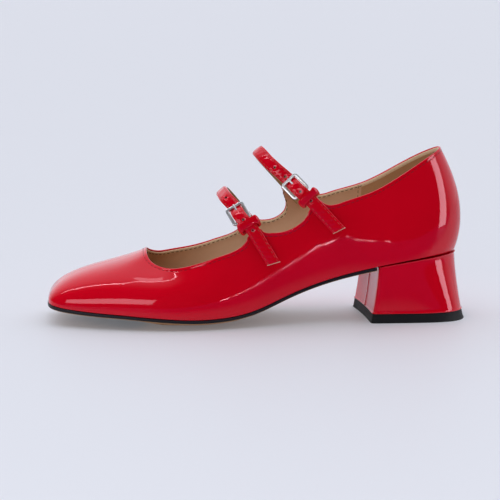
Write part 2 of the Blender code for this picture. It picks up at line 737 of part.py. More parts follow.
def heel_plan(a, b, depth):
    """Plan of the heel: a from the breast to the back, b across, depth 0 at the top, 1 at the floor."""
    flare = depth ** HEEL_FLARE_POWER
    power = HEEL_TOP_ROUND + (HEEL_BASE_ROUND - HEEL_TOP_ROUND) * flare
    lateral = HEEL_TOP_HALF[0] + (HEEL_BASE_HALF[0] - HEEL_TOP_HALF[0]) * flare
    medial = HEEL_TOP_HALF[1] + (HEEL_BASE_HALF[1] - HEEL_TOP_HALF[1]) * flare
    back = HEEL_TOP_BACK + (HEEL_BASE_BACK - HEEL_TOP_BACK) * flare
    fronts = [t + (f - t) * flare for t, f in zip(BREAST_TOP, BREAST_BASE)]
    if a <= BREAST_SHARE:
        front = fronts[0] + (fronts[1] - fronts[0]) * b
        front += BREAST_HOLLOW * math.sin(math.pi * b)
        x = front + (HEEL_SPRING_X - front) * a / BREAST_SHARE
        widening = 1.0
    else:
        angle = (a - BREAST_SHARE) / (1 - BREAST_SHARE) * math.pi / 2
        x = HEEL_SPRING_X + (back - HEEL_SPRING_X) * math.sin(angle) ** (2 / power)
        widening = max(math.cos(angle), 0.0) ** (2 / power)
    centre = (lateral + medial) / 2
    edge = lateral + (medial - lateral) * b
    return x, centre + (edge - centre) * widening


def heel_block(name, finish, low, high, levels):
    """Slice of the heel between two heights; a height of None follows the upper's underside."""

    def seat(x):
        return tread_height(x) + SOLE_THICK

    def place(a, b, c):
        nominal = seat(HEEL_SPRING_X)
        bottom = 0.0 if low is None else low
        guess = bottom + ((nominal if high is None else high) - bottom) * c
        x, y = heel_plan(a, b, max(0.0, 1 - guess / nominal))
        top = seat(x) if high is None else high
        return np.array([x, y, bottom + (top - bottom) * c])

    return make_object(name, box_solid(place, 14, 4, levels), finish)


def make_heel():
    heel_block("heel", "patent_red", LIFT_THICK + GAP, None, 6)
    heel_block("top_lift", "sole_black", 0.0, LIFT_THICK, 1)


def strap_place(route, a, b, c):
    mark = a * route.length
    slant = TAIL_SLANT * (b - 0.5) * max(0.0, (a - SLANT_FROM) / (1 - SLANT_FROM))
    across = (b - 0.5) * STRAP_WIDTH
    return route.place(min(mark, route.length - 0.01), across, STRAP_THICK * (c - 1)) \
        + route.axes(mark)[0] * slant


def circle(sides):
    """Angles once round."""
    return np.linspace(0, 2 * math.pi, sides + 1)[:-1]


def cutter(name, start, end, radius):
    """Round punch between two points, left out of the build."""
    axis = unit(end - start)
    side = unit(np.cross(axis, (0.3, 0.5, 0.8)))
    other = np.cross(axis, side)
    rings = []
    for centre in (start, end):
        rings.append([centre + radius * (side * math.cos(t) + other * math.sin(t))
                      for t in circle(PUNCH_SIDES)])
    obj = make_object(name, grid_solid(rings, wrap_rows=False), "plated_steel")
    obj.hide_render = True
    obj.display_type = "WIRE"
    return obj


def cut(obj, punch):
    modifier = obj.modifiers.new("cut " + punch.name, "BOOLEAN")
    modifier.operation = "DIFFERENCE"
    modifier.solver = "EXACT"
    modifier.object = punch


def make_strap(route):
    name = route.strap.name
    obj = make_object("strap_" + name,
                      box_solid(lambda a, b, c: strap_place(route, a, b, c), 48, 1, 1), "patent_red")
    for k in range(route.strap.hole_count):
        if k == route.strap.pin_hole:
            start = route.in_frame(-PUNCH_OVERRUN, 0.0, PRONG_WRAP)
            end = route.in_frame(FRAME_SPAN + PIN_PUNCH_REACH, 0.0, PRONG_WRAP)
            cut(obj, cutter("punch_%s_pin" % name, start, end, PRONG_RADIUS + GAP + PIN_EASE))
            continue
        mark = route.pin_mark + (k - route.strap.pin_hole) * HOLE_PITCH
        start = route.place(mark, 0.0, PUNCH_OVERRUN)
        end = route.place(mark, 0.0, -STRAP_THICK - PUNCH_OVERRUN)
        cut(obj, cutter("punch_%s_%d" % (name, k), start, end, HOLE_RADIUS))


def wire(points, radius, sides):
    """Round bar along an open line of points that bends gently."""
    points = np.array(points)
    rings = []
    last = len(points) - 1
    side = np.cross(points[1] - points[0], (0.21, 0.47, 0.86))
    for i, point in enumerate(points):
        along = unit(points[min(i + 1, last)] - points[max(i - 1, 0)])
        side = unit(side - along * (side @ along))
        other = np.cross(along, side)
        rings.append([point + radius * (side * math.cos(t) + other * math.sin(t))
                      for t in circle(sides)])
    return rings


def rounded_loop(half_length, half_width, corner, steps):
    """Corner points of a rounded rectangle, as pairs about its centre."""
    loop = []
    for k, (sx, sy) in enumerate(((1, 1), (-1, 1), (-1, -1), (1, -1))):
        for step in range(steps + 1):
            angle = math.pi / 2 * (k + step / steps)
            loop.append((sx * (half_length - corner) + corner * math.cos(angle),
                         sy * (half_width - corner) + corner * math.sin(angle)))
    return loop


def make_buckle(route):
    half = FRAME_SPAN / 2
    loop = rounded_loop(half, FRAME_HALF, FRAME_CORNER, CORNER_STEPS)
    points = [route.in_frame(half + u, v, 0.0) for u, v in loop]
    axis = route.out
    rings = []
    count = len(points)
    for i in range(count):
        along = unit(points[(i + 1) % count] - points[i - 1])
        side = np.cross(along, axis)
        rings.append([points[i] + BAR_RADIUS * (side * math.cos(t) + axis * math.sin(t))
                      for t in circle(BAR_SIDES)])
    make_object("buckle_" + route.strap.name, grid_solid(rings, wrap_rows=True), "plated_steel")


def round_the_bar(route, turn, radius):
    """Points round the hinge bar, from one angle to another."""
    start, end = turn
    count = abs(end - start) // TURN_STEP + 1
    angles = [math.radians(start + math.copysign(TURN_STEP, end - start) * k) for k in range(count)]
    return [route.in_frame(radius * math.cos(t), 0.0, radius * math.sin(t)) for t in angles]


def make_prong(route):
    """Wire bent round the hinge bar, then straight to rest on the far bar."""
    points = round_the_bar(route, PRONG_TURN, PRONG_WRAP)
    tip = FRAME_SPAN + BAR_RADIUS
    for share in (0.2, 0.5, 1.0):
        points.append(route.in_frame(tip * share, 0.0, PRONG_WRAP))
    rings = wire(points, PRONG_RADIUS, PRONG_SIDES)
    make_object("prong_" + route.strap.name, grid_solid(rings, wrap_rows=False), "plated_steel")


def make_chape(route):
    """Tab folded round the hinge bar, its long leg sewn to the ear under the strap's tail."""
    line = round_the_bar(route, CHAPE_TURN, CHAPE_WRAP)
    depth = -(STRAP_THICK + CHAPE_EASE + CHAPE_THICK / 2)
    for after in CHAPE_MARKS:
        line.append(route.place(route.hinge_mark + after, 0.0, depth))
    line = np.array(line)

    last = len(line) - 1

    def place(a, b, c):
        at = a * last
        i = min(int(at), last - 1)
        reach = 1 if 0 < i < last - 1 else 0
        along = unit(line[i + 1 + reach] - line[i - reach])
        middle = line[i] + (line[i + 1] - line[i]) * (at - i)
        out = np.cross(route.across, along)
        return middle + route.across * CHAPE_WIDTH * (b - 0.5) + out * CHAPE_THICK * (c - 0.5)

    obj = make_object("chape_" + route.strap.name, box_solid(place, last, 2, 1), "patent_red")
    reach, depth = CHAPE_SLOT_BOX
    start = route.in_frame(-CHAPE_SLOT_SETBACK, -CHAPE_SLOT / 2, -CHAPE_SLOT_SETBACK)
    slot = box_solid(lambda a, b, c: start + route.along * reach * a + route.across * CHAPE_SLOT * b
                     + route.out * depth * c, 1, 1, 1)
    punch = make_object("slot_" + route.strap.name, slot, "plated_steel")
    punch.hide_render = True
    punch.display_type = "WIRE"
    cut(obj, punch)


def make_keeper(route):
    """Closed loop round the strap and the chape, just past the buckle."""
    mark = route.hinge_mark + KEEPER_AFTER_HINGE
    centre = route.place(mark, KEEPER_SHIFT, 0.0)
    along_axis = route.axes(mark)[0]
    along_axis = unit(along_axis - route.across * (along_axis @ route.across))
    top = KEEPER_EASE + KEEPER_THICK / 2
    floor = top - KEEPER_INSIDE - KEEPER_THICK
    half_out = (top - floor) / 2
    loop = rounded_loop(KEEPER_HALF, half_out, KEEPER_CORNER, CORNER_STEPS)
    rings = []
    count = len(loop)
    for i in range(count):
        ahead, behind = np.array(loop[(i + 1) % count]), np.array(loop[i - 1])
        normal = unit(np.array([ahead[1] - behind[1], behind[0] - ahead[0]]))
        ring = []
        for thick, band in ((-0.5, -0.5), (0.5, -0.5), (0.5, 0.5), (-0.5, 0.5)):
            across, out = np.array(loop[i]) + normal * thick * KEEPER_THICK
            ring.append(centre + along_axis * band * KEEPER_BAND + route.across * across
                        + route.out * (out + (top + floor) / 2))
        rings.append(ring)
    make_object("keeper_" + route.strap.name, grid_solid(rings, wrap_rows=True), "patent_red")


def main():
    for obj in list(bpy.data.objects):
        bpy.data.objects.remove(obj)
    make_upper()
    make_insole()
    make_outsole()
    make_heel()
    for route in ROUTES:
        make_strap(route)
        make_buckle(route)
        make_prong(route)
        make_chape(route)
        make_keeper(route)


main()
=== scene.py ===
"""Looks of a left patent-leather shoe with two buckled straps and a covered block heel.

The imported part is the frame. The tables below hold millimetres in the maker's own axes: toe at -X,
heel at +X, buckles at -Y, floor at Z = 0. Solid meshes are turned into the frame's metres at the end.
"""

import logging
import math
from collections.abc import Sequence
from dataclasses import dataclass
from enum import Enum
from typing import NamedTuple

import bmesh
import bpy
import numpy as np
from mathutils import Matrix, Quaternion, Vector


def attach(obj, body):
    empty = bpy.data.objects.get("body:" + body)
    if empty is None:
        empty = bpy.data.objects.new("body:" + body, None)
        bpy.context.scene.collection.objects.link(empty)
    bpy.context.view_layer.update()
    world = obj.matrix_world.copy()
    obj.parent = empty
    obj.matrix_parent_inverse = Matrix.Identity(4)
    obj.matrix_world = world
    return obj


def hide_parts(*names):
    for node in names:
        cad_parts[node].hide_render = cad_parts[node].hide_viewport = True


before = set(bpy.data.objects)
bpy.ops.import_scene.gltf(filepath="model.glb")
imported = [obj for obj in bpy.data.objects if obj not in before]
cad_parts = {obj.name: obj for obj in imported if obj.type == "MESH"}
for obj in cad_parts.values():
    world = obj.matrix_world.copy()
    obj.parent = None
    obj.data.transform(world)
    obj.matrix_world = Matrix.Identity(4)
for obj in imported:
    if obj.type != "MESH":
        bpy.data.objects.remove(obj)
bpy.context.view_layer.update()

Array = np.ndarray
Piece, Material = bpy.types.Object, bpy.types.Material
Tree, Socket = bpy.types.NodeTree, bpy.types.NodeSocket
Pair = tuple[float, float]
Triple = tuple[float, float, float]
LOG = logging.getLogger("shoe")
BODY = "root"
MM = 0.001
CENTRE = np.array([-0.56, -2.25, 0.0])  # the middle of the shoe in these tables is the frame's origin
UP = np.array([0.0, 0.0, 1.0])
LEVEL = np.array([1.0, 1.0, 0.0])


# ---- the last: the tables that the part is built on ----
class Foot(NamedTuple):
    """Feather line, where the wall meets the sole, and the underside of the sole at its middle."""

    x: float
    lat: float
    med: float
    z: float
    tread_z: float


FOOT = (
    Foot(-125.0, 0.0, 0.0, 12.6, 9.4), Foot(-124.8, -9.5, 9.5, 12.6, 9.4),
    Foot(-122.9, -18.3, 17.8, 12.3, 8.9), Foot(-116.8, -24.6, 23.6, 11.5, 7.6),
    Foot(-106.5, -29.5, 27.8, 10.6, 5.6), Foot(-93.5, -33.9, 31.4, 9.8, 3.6),
    Foot(-80.0, -37.5, 34.3, 9.2, 1.1), Foot(-66.0, -40.1, 36.4, 8.2, 0.0),
    Foot(-51.0, -41.4, 36.6, 7.1, 0.0), Foot(-36.0, -40.7, 33.8, 6.5, 0.0),
    Foot(-19.0, -37.8, 28.9, 7.3, 1.4), Foot(-2.0, -34.4, 23.9, 11.0, 6.6),
    Foot(15.0, -31.4, 20.9, 18.3, 14.9), Foot(32.0, -29.0, 19.9, 24.9, 21.7),
    Foot(49.0, -27.5, 20.6, 29.8, 26.8), Foot(66.0, -27.0, 22.6, 33.6, 30.7),
    Foot(83.0, -26.6, 24.6, 36.8, 33.9), Foot(99.0, -23.2, 22.4, 39.0, 36.1),
    Foot(112.5, -14.4, 14.2, 40.1, 37.2), Foot(119.3, 0.0, 0.0, 40.4, 37.5),
)


class Top(NamedTuple):
    """Topline without its ears, on the same sections."""

    x: float
    lat: float
    med: float
    lat_z: float
    med_z: float


TOP = (
    Top(-66.5, 0.0, 0.0, 42.0, 42.0), Top(-66.5, -3.6, 3.6, 41.9, 41.9),
    Top(-66.4, -7.0, 7.0, 41.5, 41.6), Top(-66.2, -10.3, 10.4, 40.9, 41.1),
    Top(-65.6, -13.4, 13.6, 39.8, 40.3), Top(-64.2, -16.8, 17.2, 38.0, 38.8),
    Top(-61.2, -20.6, 21.2, 36.1, 37.2), Top(-56.5, -24.7, 25.4, 35.0, 36.4),
    Top(-49.0, -29.3, 29.9, 35.2, 36.8), Top(-37.0, -32.4, 32.6, 38.2, 38.4),
    Top(-22.5, -33.5, 33.2, 43.3, 42.6), Top(-7.0, -33.3, 32.4, 49.8, 48.6),
    Top(8.5, -32.5, 31.2, 56.1, 53.9), Top(29.0, -31.1, 29.6, 65.0, 63.6),
    Top(48.0, -28.9, 28.4, 73.1, 71.7), Top(66.0, -25.0, 24.8, 78.6, 77.6),
    Top(83.0, -21.4, 21.4, 87.4, 86.6), Top(97.0, -16.0, 16.4, 95.6, 95.0),
    Top(106.4, -8.8, 9.0, 100.6, 100.3), Top(109.4, 0.0, 0.0, 102.2, 102.2),
)


class Wall(NamedTuple):
    """Controls of a wall line: out from and above the feather line, the middle, and the topline."""

    bulge: float
    rise: float
    mid_in: float
    mid_out: float
    mid_up: float
    reach: float
    drop: float


WALLS = (
    Wall(1.3, 5.9, 0.16, 0.0, 20.7, 17.3, 10.5), Wall(1.3, 5.9, 0.16, 0.0, 20.5, 17.2, 10.3),
    Wall(1.3, 5.8, 0.16, 0.0, 19.7, 16.5, 9.4), Wall(1.4, 5.8, 0.16, 0.0, 19.4, 16.0, 8.4),
    Wall(1.5, 6.0, 0.16, 0.3, 20.2, 15.0, 7.4), Wall(1.8, 6.5, 0.17, 0.8, 21.0, 13.0, 6.6),
    Wall(2.0, 7.0, 0.19, 1.2, 21.2, 10.0, 6.2), Wall(2.3, 7.4, 0.21, 1.6, 20.4, 7.2, 6.2),
    Wall(2.6, 7.6, 0.24, 2.0, 19.4, 5.0, 6.8), Wall(2.8, 8.0, 0.28, 2.4, 19.8, 3.6, 8.0),
    Wall(3.0, 8.5, 0.34, 2.3, 21.5, 2.0, 9.5), Wall(3.2, 9.5, 0.40, 2.0, 23.0, 1.0, 11.0),
    Wall(3.2, 10.0, 0.45, 1.9, 23.5, 0.9, 12.0), Wall(3.0, 10.0, 0.48, 1.9, 24.0, 0.9, 12.5),
    Wall(2.8, 10.0, 0.50, 2.3, 25.0, 1.9, 13.0), Wall(2.6, 10.5, 0.48, 2.4, 26.0, 3.0, 13.5),
    Wall(2.4, 11.0, 0.42, 2.4, 27.5, 3.6, 14.5), Wall(3.2, 12.4, 0.36, 3.2, 29.2, 5.6, 15.6),
    Wall(4.6, 13.6, 0.30, 5.2, 30.2, 8.4, 17.2), Wall(5.7, 14.5, 0.26, 6.6, 30.5, 10.2, 18.4),
)


class Side(Enum):
    """The two sides of the foot; the value is the sign of Y."""

    LATERAL = -1
    MEDIAL = 1


@dataclass(frozen=True)
class StrapPlan:
    """Where one strap runs, from its lap on the medial ear over the instep to its tail.

    Each stop before and after the buckle is x, y, z of the middle of the strap's outer face, and the
    rake of its direction across, in degrees.
    """

    name: str
    hinge: Triple
    along: Triple
    out: Triple
    before: tuple[tuple, ...]
    after: tuple[tuple, ...]
    drift: float
    lap_top: Pair
    pin_hole: int = 2
    hole_count: int = 5
    hole_shift: float = 0.0


STRAPS = (
    StrapPlan(
        name="front",
        hinge=(-10.5, -30.0, 63.1),
        along=(-0.408, 0.610, 0.679),
        out=(-0.280, -0.792, 0.543),
        before=(
            (-1.8, 27.7, 50.0, 56.0), (-6.2, 28.0, 56.4, 55.0), (-11.4, 26.2, 63.4, 53.0),
            (-16.2, 21.8, 69.6, 51.0), (-19.6, 15.2, 73.9, 50.0), (-21.3, 7.8, 76.0, 50.0),
            (-21.7, 0.0, 76.7, 50.0), (-21.0, -8.0, 76.2, 51.0), (-19.4, -15.4, 74.6, 54.0),
        ),
        after=(
            (-2.6, -36.2, 55.0, 58.0), (1.4, -37.1, 48.2, 58.0), (7.4, -37.8, 38.6, 58.0),
        ),
        drift=2.2,
        lap_top=(-6.8, 57.2),
        hole_shift=2.0,
    ),
    StrapPlan(
        name="rear",
        hinge=(23.9, -29.5, 79.0),
        along=(-0.652, 0.376, 0.659),
        out=(-0.235, -0.926, 0.297),
        before=(
            (28.6, 25.9, 66.6, 47.0), (23.4, 26.1, 72.8, 47.0), (17.4, 25.0, 79.8, 47.0),
            (10.8, 22.0, 87.3, 48.0), (5.0, 16.4, 94.0, 48.0), (1.2, 8.6, 99.0, 49.0),
            (-0.2, 0.0, 101.0, 49.0), (1.4, -8.4, 99.8, 48.0), (5.2, -15.4, 96.0, 47.0),
            (9.8, -19.6, 92.0, 46.0),
        ),
        after=(
            (31.6, -34.3, 72.5, 47.0), (38.2, -34.9, 65.4, 47.0), (45.8, -35.2, 57.2, 47.0),
        ),
        drift=0.9,
        lap_top=(19.8, 76.7),
    ),
)


class Spring(NamedTuple):
    """Where an ear springs from the topline, and how its sides fall to it."""

    strap: str
    side: Side
    front_x: float
    front_slope: float
    back_x: float
    back_slope: float
    front_extra: float
    leans: Pair
    hollow: float


SPRINGS = (
    Spring("front", Side.LATERAL, -27.0, 0.36, 8.5, -0.02, 0.9, (2.0, 2.0), 0.36),
    Spring("rear", Side.LATERAL, 8.5, -0.02, 46.0, 0.18, 0.9, (3.0, 2.0), 0.46),
    Spring("front", Side.MEDIAL, -24.0, 0.30, 8.5, 0.10, 0.3, (3.0, 2.0), 0.5),
    Spring("rear", Side.MEDIAL, 8.5, 0.15, 44.0, 0.20, 0.3, (8.0, 7.0), 0.5),
)


# ---- sizes that the pieces share, in millimetres ----
GAP = 0.3  # between pieces that are sewn or glued to each other
WALL = 1.8  # upper leather together with its lining
MARGIN_THICK = 1.4  # lasting margin, turned in under the insole
MARGIN_WIDTH = 9.0
SOLE_THICK = 2.0
SOLE_GAP = 0.5  # cement between the upper and the sole
STRAP_WIDTH = 7.6
STRAP_THICK = 1.8
FRAME_SPAN = 10.6  # from the middle of the hinge bar to that of the far bar
FRAME_HALF = 5.1  # half of the frame's width
BAR_RADIUS = 0.85
PRONG_RADIUS = 0.55
CHAPE_THICK = 0.9
CHAPE_EASE = 0.45  # between the strap and the chape under it
HOLE_PITCH = 8.3
HOLE_RADIUS = 0.8
STITCH_PITCH = 2.9
FLAT_SHARE = 0.3  # share of the bottom's half width that is flat
BOTTOM_ROLL = 2.2  # power of the curve from there up to the feather line
WALL_LEAN = 14.0  # weight of the feather line's own way out in the wall's
SPINE = (-103.0, 100.0)  # ends of the middle line that the bottom's sections start from
# along, out and share of the drift of the strap's face, from the far bar to behind the hinge bar
BUCKLE_RUN = ((12.6, -2.1, 0.0), (10.6, -1.75, 0.0), (8.9, 0.0, 0.0), (5.6, 3.4, 0.0),
              (2.5, 4.3, 0.0), (-1.0, 4.4, 0.2), (-4.4, 3.2, 0.55), (-7.5, 1.2, 1.0))
HINGE_STOP = 5  # the row of that run which lies over the hinge bar
EAR_TOP_AFTER_HINGE = 11.9
EAR_BACK_EXTRA = 0.3
EAR_ROWS = (9.0, 15.0)  # sections of the last between which the ears stand
EAR_FRONT_FALL = np.array([-0.06, 0.0, -0.34])  # first pull of a lateral ear's front edge, by height
EAR_FRONT_HOLLOW = 0.30
TAIL_SLANT = 2.2  # how far one corner of the tail leads the other
SLANT_FROM = 0.85  # share of the strap behind which its rings turn to that slant


# ---- curves ----
def unit(vectors: Array) -> Array:
    """Vectors of length one, along the last axis."""
    return vectors / np.linalg.norm(vectors, axis=-1, keepdims=True)


def hump(distance: Array | float, width: float) -> Array | float:
    """Soft bell of height one."""
    return np.exp(-np.square(np.asarray(distance) / width))


def lengths(points: Array) -> Array:
    """Distance along a line of points, from its start."""
    steps = np.linalg.norm(np.diff(points, axis=0), axis=1)
    return np.concatenate(([0.0], np.cumsum(steps)))


def blend_columns(wanted: Array | float, marks: Array, rows: Array) -> Array:
    """Rows of a table read between its marks, column by column."""
    return np.stack([np.interp(wanted, marks, rows[:, k]) for k in range(rows.shape[1])], axis=-1)


def at_lengths(points: Array, wanted: Array | float) -> Array:
    """Points at the wanted distances along a line."""
    return blend_columns(wanted, lengths(points), points)


def directions(points: Array, closed: bool = False) -> Array:
    """Unit vectors along a line at each of its points."""
    if closed:
        return unit(np.roll(points, -1, axis=0) - np.roll(points, 1, axis=0))
    return unit(np.concatenate((points[1:], points[-1:])) - np.concatenate((points[:1], points[:-1])))


def catmull(rows: Sequence[Array], u: float) -> Array:
    """Point on the open Catmull-Rom curve through rows.

    Args:
        rows: what the curve runs through.
        u: place on it, a whole number at each row.

    Returns:
        The row of values there.
    """
    last = len(rows) - 1
    i = min(max(int(math.floor(u)), 0), last - 1)
    t = u - i
    before = rows[i - 1] if i > 0 else 2 * rows[0] - rows[1]
    after = rows[i + 2] if i + 2 <= last else 2 * rows[-1] - rows[-2]
    b, c = rows[i], rows[i + 1]
    return 0.5 * (2 * b + (c - before) * t + (2 * before - 5 * b + 4 * c - after) * t ** 2
                  + (3 * b - before - 3 * c + after) * t ** 3)


def bezier(controls: Sequence[Array], steps: int) -> Array:
    """Points at even steps along the Bezier curve of the controls."""
    degree = len(controls) - 1
    return np.array([sum(math.comb(degree, k) * t ** k * (1 - t) ** (degree - k) * controls[k]
                         for k in range(degree + 1)) for t in np.linspace(0, 1, steps)])


class Rail:
    """Closed curve through the rows of a table, whose bend never jumps, as glossy leather needs."""

    def __init__(self, rows: Array) -> None:
        """Works out how the curve bends at each row.

        Args:
            rows: the table, one row for each whole number of the curve's parameter.
        """
        ring = np.eye(len(rows))
        matrix = 4 * ring + np.roll(ring, 1, axis=1) + np.roll(ring, -1, axis=1)
        pull = 6 * (np.roll(rows, -1, axis=0) - 2 * rows + np.roll(rows, 1, axis=0))
        self.rows = rows
        self.bends = np.linalg.solve(matrix, pull)

    def at(self, place: float) -> Array:
        """Reads the curve.

        Args:
            place: place in rows, which may run past the ends of the table.

        Returns:
            The row of values there.
        """
        i = math.floor(place)
        t = place - i
        a, b = i % len(self.rows), (i + 1) % len(self.rows)
        bend = (2 - t) * self.bends[a] + (1 + t) * self.bends[b]
        return (1 - t) * self.rows[a] + t * self.rows[b] - t * (1 - t) / 6 * bend


LAST_ROW = len(FOOT) - 1


def rail(lateral: Sequence[tuple], medial: Sequence[tuple]) -> Rail:
    """Rail once round the shoe: the lateral side to the heel, then the medial side back."""
    return Rail(np.array(list(lateral) + list(medial)[-2:0:-1], float))


FOOT_RAIL = rail([(r.x, r.lat, r.z) for r in FOOT], [(r.x, r.med, r.z) for r in FOOT])
TOP_RAIL = rail([(r.x, r.lat, r.lat_z) for r in TOP], [(r.x, r.med, r.med_z) for r in TOP])
WALL_RAIL = rail(WALLS, WALLS)
FOOT_X = np.array([r.x for r in FOOT])
MIDLINE = np.array([(r.lat + r.med) / 2 for r in FOOT])
TREAD = np.array([r.tread_z for r in FOOT])


def on_rail(side: Side, u: float) -> float:
    """Place on a closed rail of section number u on one side."""
    return u if side is Side.LATERAL else (2 * LAST_ROW - u) % (2 * LAST_ROW)


def foot_point(side: Side, u: float) -> Array:
    """Feather line at a section."""
    return FOOT_RAIL.at(on_rail(side, u))


def foot_normal(side: Side, u: float) -> Array:
    """Level direction out of the feather line.

    Args:
        side: side of the foot.
        u: section number.

    Returns:
        A unit vector.
    """
    place, step = on_rail(side, u), 0.02
    along = FOOT_RAIL.at(place + step) - FOOT_RAIL.at(place - step)
    return unit(np.array([along[1], -along[0], 0.0]))


def monotone(xs: Array, ys: Array, x: float) -> float:
    """Cubic through a table that never overshoots its rows, so level stretches stay level.

    Args:
        xs: rising places of the rows.
        ys: their values.
        x: place that is wanted, held within the table.

    Returns:
        The value there.
    """
    x = min(max(x, xs[0]), xs[-1])
    i = min(int(np.searchsorted(xs, x, side="right")) - 1, len(xs) - 2)
    slopes = (np.diff(ys) / np.diff(xs)).tolist()
    turns = [0.0 if a * b <= 0 else 2 * a * b / (a + b) for a, b in zip(slopes, slopes[1:])]
    tangents = [slopes[0], *turns, slopes[-1]]
    h = xs[i + 1] - xs[i]
    t = (x - xs[i]) / h
    return ((2 * t ** 3 - 3 * t ** 2 + 1) * ys[i] + (t ** 3 - 2 * t ** 2 + t) * h * tangents[i]
            + (3 * t ** 2 - 2 * t ** 3) * ys[i + 1] + (t ** 3 - t ** 2) * h * tangents[i + 1])


def tread_height(x: float) -> float:
    """Underside of the sole at its middle."""
    return monotone(FOOT_X, TREAD, x)


def spine_point(x: float) -> Array:
    """Middle of the last's bottom, kept clear of the toe and heel ends."""
    x = min(max(x, SPINE[0]), SPINE[1])
    return np.array([x, monotone(FOOT_X, MIDLINE, x), 0.0])


def bottom_point(side: Side, u: float, inset: float, share: float, spine: Array) -> Array:
    """Underside of the upper on a section.

    Args:
        side: side of the foot.
        u: section number.
        inset: how far the section's edge lies inside the feather line.
        share: 1 at that edge, 0 at the spine.
        spine: the section's point in the middle.

    Returns:
        The point.
    """
    edge = foot_point(side, u) - foot_normal(side, u) * inset
    point = spine + (edge - spine) * share
    raised = edge[2] - tread_height(edge[0]) - SOLE_THICK - SOLE_GAP
    across = max(0.0, (share - FLAT_SHARE) / (1 - FLAT_SHARE)) ** BOTTOM_ROLL
    point[2] = tread_height(point[0]) + SOLE_THICK + SOLE_GAP + raised * across
    return point


class StrapRoute:
    """A strap's outer face: its middle line, the direction across and the way out."""

    STEPS = 24  # points drawn for each stop
    REACH = 0.8  # half of the stretch over which its direction is taken

    def __init__(self, plan: StrapPlan) -> None:
        """Lays the route through the plan's stops and over the buckle.

        Args:
            plan: where the strap runs.
        """
        self.plan = plan
        self.hinge, self.along = np.array(plan.hinge), unit(np.array(plan.along))
        out = np.array(plan.out)
        self.out = unit(out - self.along * (out @ self.along))
        self.across = np.cross(self.along, self.out)
        if self.across[0] < 0:
            self.across = -self.across
        rake = math.degrees(math.atan2(self.across[0], self.across[2]))
        rows = [np.array(stop) for stop in plan.before]
        for reach, rise, share in BUCKLE_RUN:
            rows.append(np.append(self.in_frame(reach, plan.drift * share, rise), rake))
        rows += [np.array(stop) for stop in plan.after]
        us = np.linspace(0, len(rows) - 1, self.STEPS * len(rows))
        dense = np.array([catmull(rows, u) for u in us])
        self.points, self.rakes = dense[:, :3], dense[:, 3]
        self.marks = lengths(self.points)
        self.length = float(self.marks[-1])
        top = self.hinge + self.out * BUCKLE_RUN[HINGE_STOP][1]
        self.hinge_mark = float(self.marks[int(np.argmin(np.linalg.norm(self.points - top, axis=1)))])
        self.pin_mark = self.hinge_mark - HOLE_PITCH + plan.hole_shift

    def middle(self, mark: float) -> Array:
        """Middle of the outer face at a distance along the strap."""
        return blend_columns(mark, self.marks, self.points)

    def axes(self, mark: float) -> tuple[Array, Array, Array]:
        """The strap's own directions at a mark.

        Args:
            mark: distance along the strap.

        Returns:
            Along it, across it towards the heel, and out of its face.
        """
        ahead, behind = min(mark + self.REACH, self.length), max(mark - self.REACH, 0.0)
        along = unit(self.middle(ahead) - self.middle(behind))
        rake = math.radians(float(np.interp(mark, self.marks, self.rakes)))
        across = np.array([math.sin(rake), 0.0, math.cos(rake)])
        across = unit(across - along * (across @ along))
        return along, across, np.cross(along, across)

    def place(self, mark: float, across: float, out: float) -> Array:
        """Point on or near the strap's face."""
        _, across_axis, out_axis = self.axes(mark)
        return self.middle(mark) + across_axis * across + out_axis * out

    def in_frame(self, reach: float, across: float, out: float) -> Array:
        """Point in the rigid axes of the buckle, from the middle of its hinge bar."""
        return self.hinge + self.along * reach + self.across * across + self.out * out

    def mark_near(self, x: float, z: float) -> float:
        """Mark on the lap side of the route closest to a place seen from the side."""
        gaps = np.hypot(self.points[:, 0] - x, self.points[:, 2] - z)
        return float(self.marks[int(np.argmin(gaps[:len(gaps) // 2]))])

    def hole_marks(self) -> list[float]:
        """Marks of the punched holes, the prong's own hole left out."""
        return [self.pin_mark + (k - self.plan.pin_hole) * HOLE_PITCH
                for k in range(self.plan.hole_count) if k != self.plan.pin_hole]

    @staticmethod
    def slant(across: float, share: float) -> float:
        """How far the cut on a slant moves a point of the tail along the strap."""
        return TAIL_SLANT * (across / STRAP_WIDTH) * max(0.0, (share - SLANT_FROM) / (1 - SLANT_FROM))


ROUTES = tuple(StrapRoute(plan) for plan in STRAPS)


# ---- the wall with its ears ----
def base_top(side: Side, u: float) -> Array:
    """Topline without its ears."""
    return TOP_RAIL.at(on_rail(side, u))


def wall_line(side: Side, u: float) -> list[Array]:
    """Wall from the feather line to the topline without its ears.

    Args:
        side: side of the foot.
        u: section number.

    Returns:
        The five controls of its curve.
    """
    wall = Wall(*WALL_RAIL.at(on_rail(side, u)))
    foot, top = foot_point(side, u), base_top(side, u)
    normal = foot_normal(side, u)
    out = unit((foot - top) * LEVEL + normal * WALL_LEAN)
    middle = foot * (1 - wall.mid_in) + top * wall.mid_in
    middle = middle * LEVEL + out * wall.mid_out + UP * (foot[2] + wall.mid_up)
    return [foot, foot + normal * wall.bulge + UP * wall.rise, middle,
            top + out * wall.reach - UP * wall.drop, top]


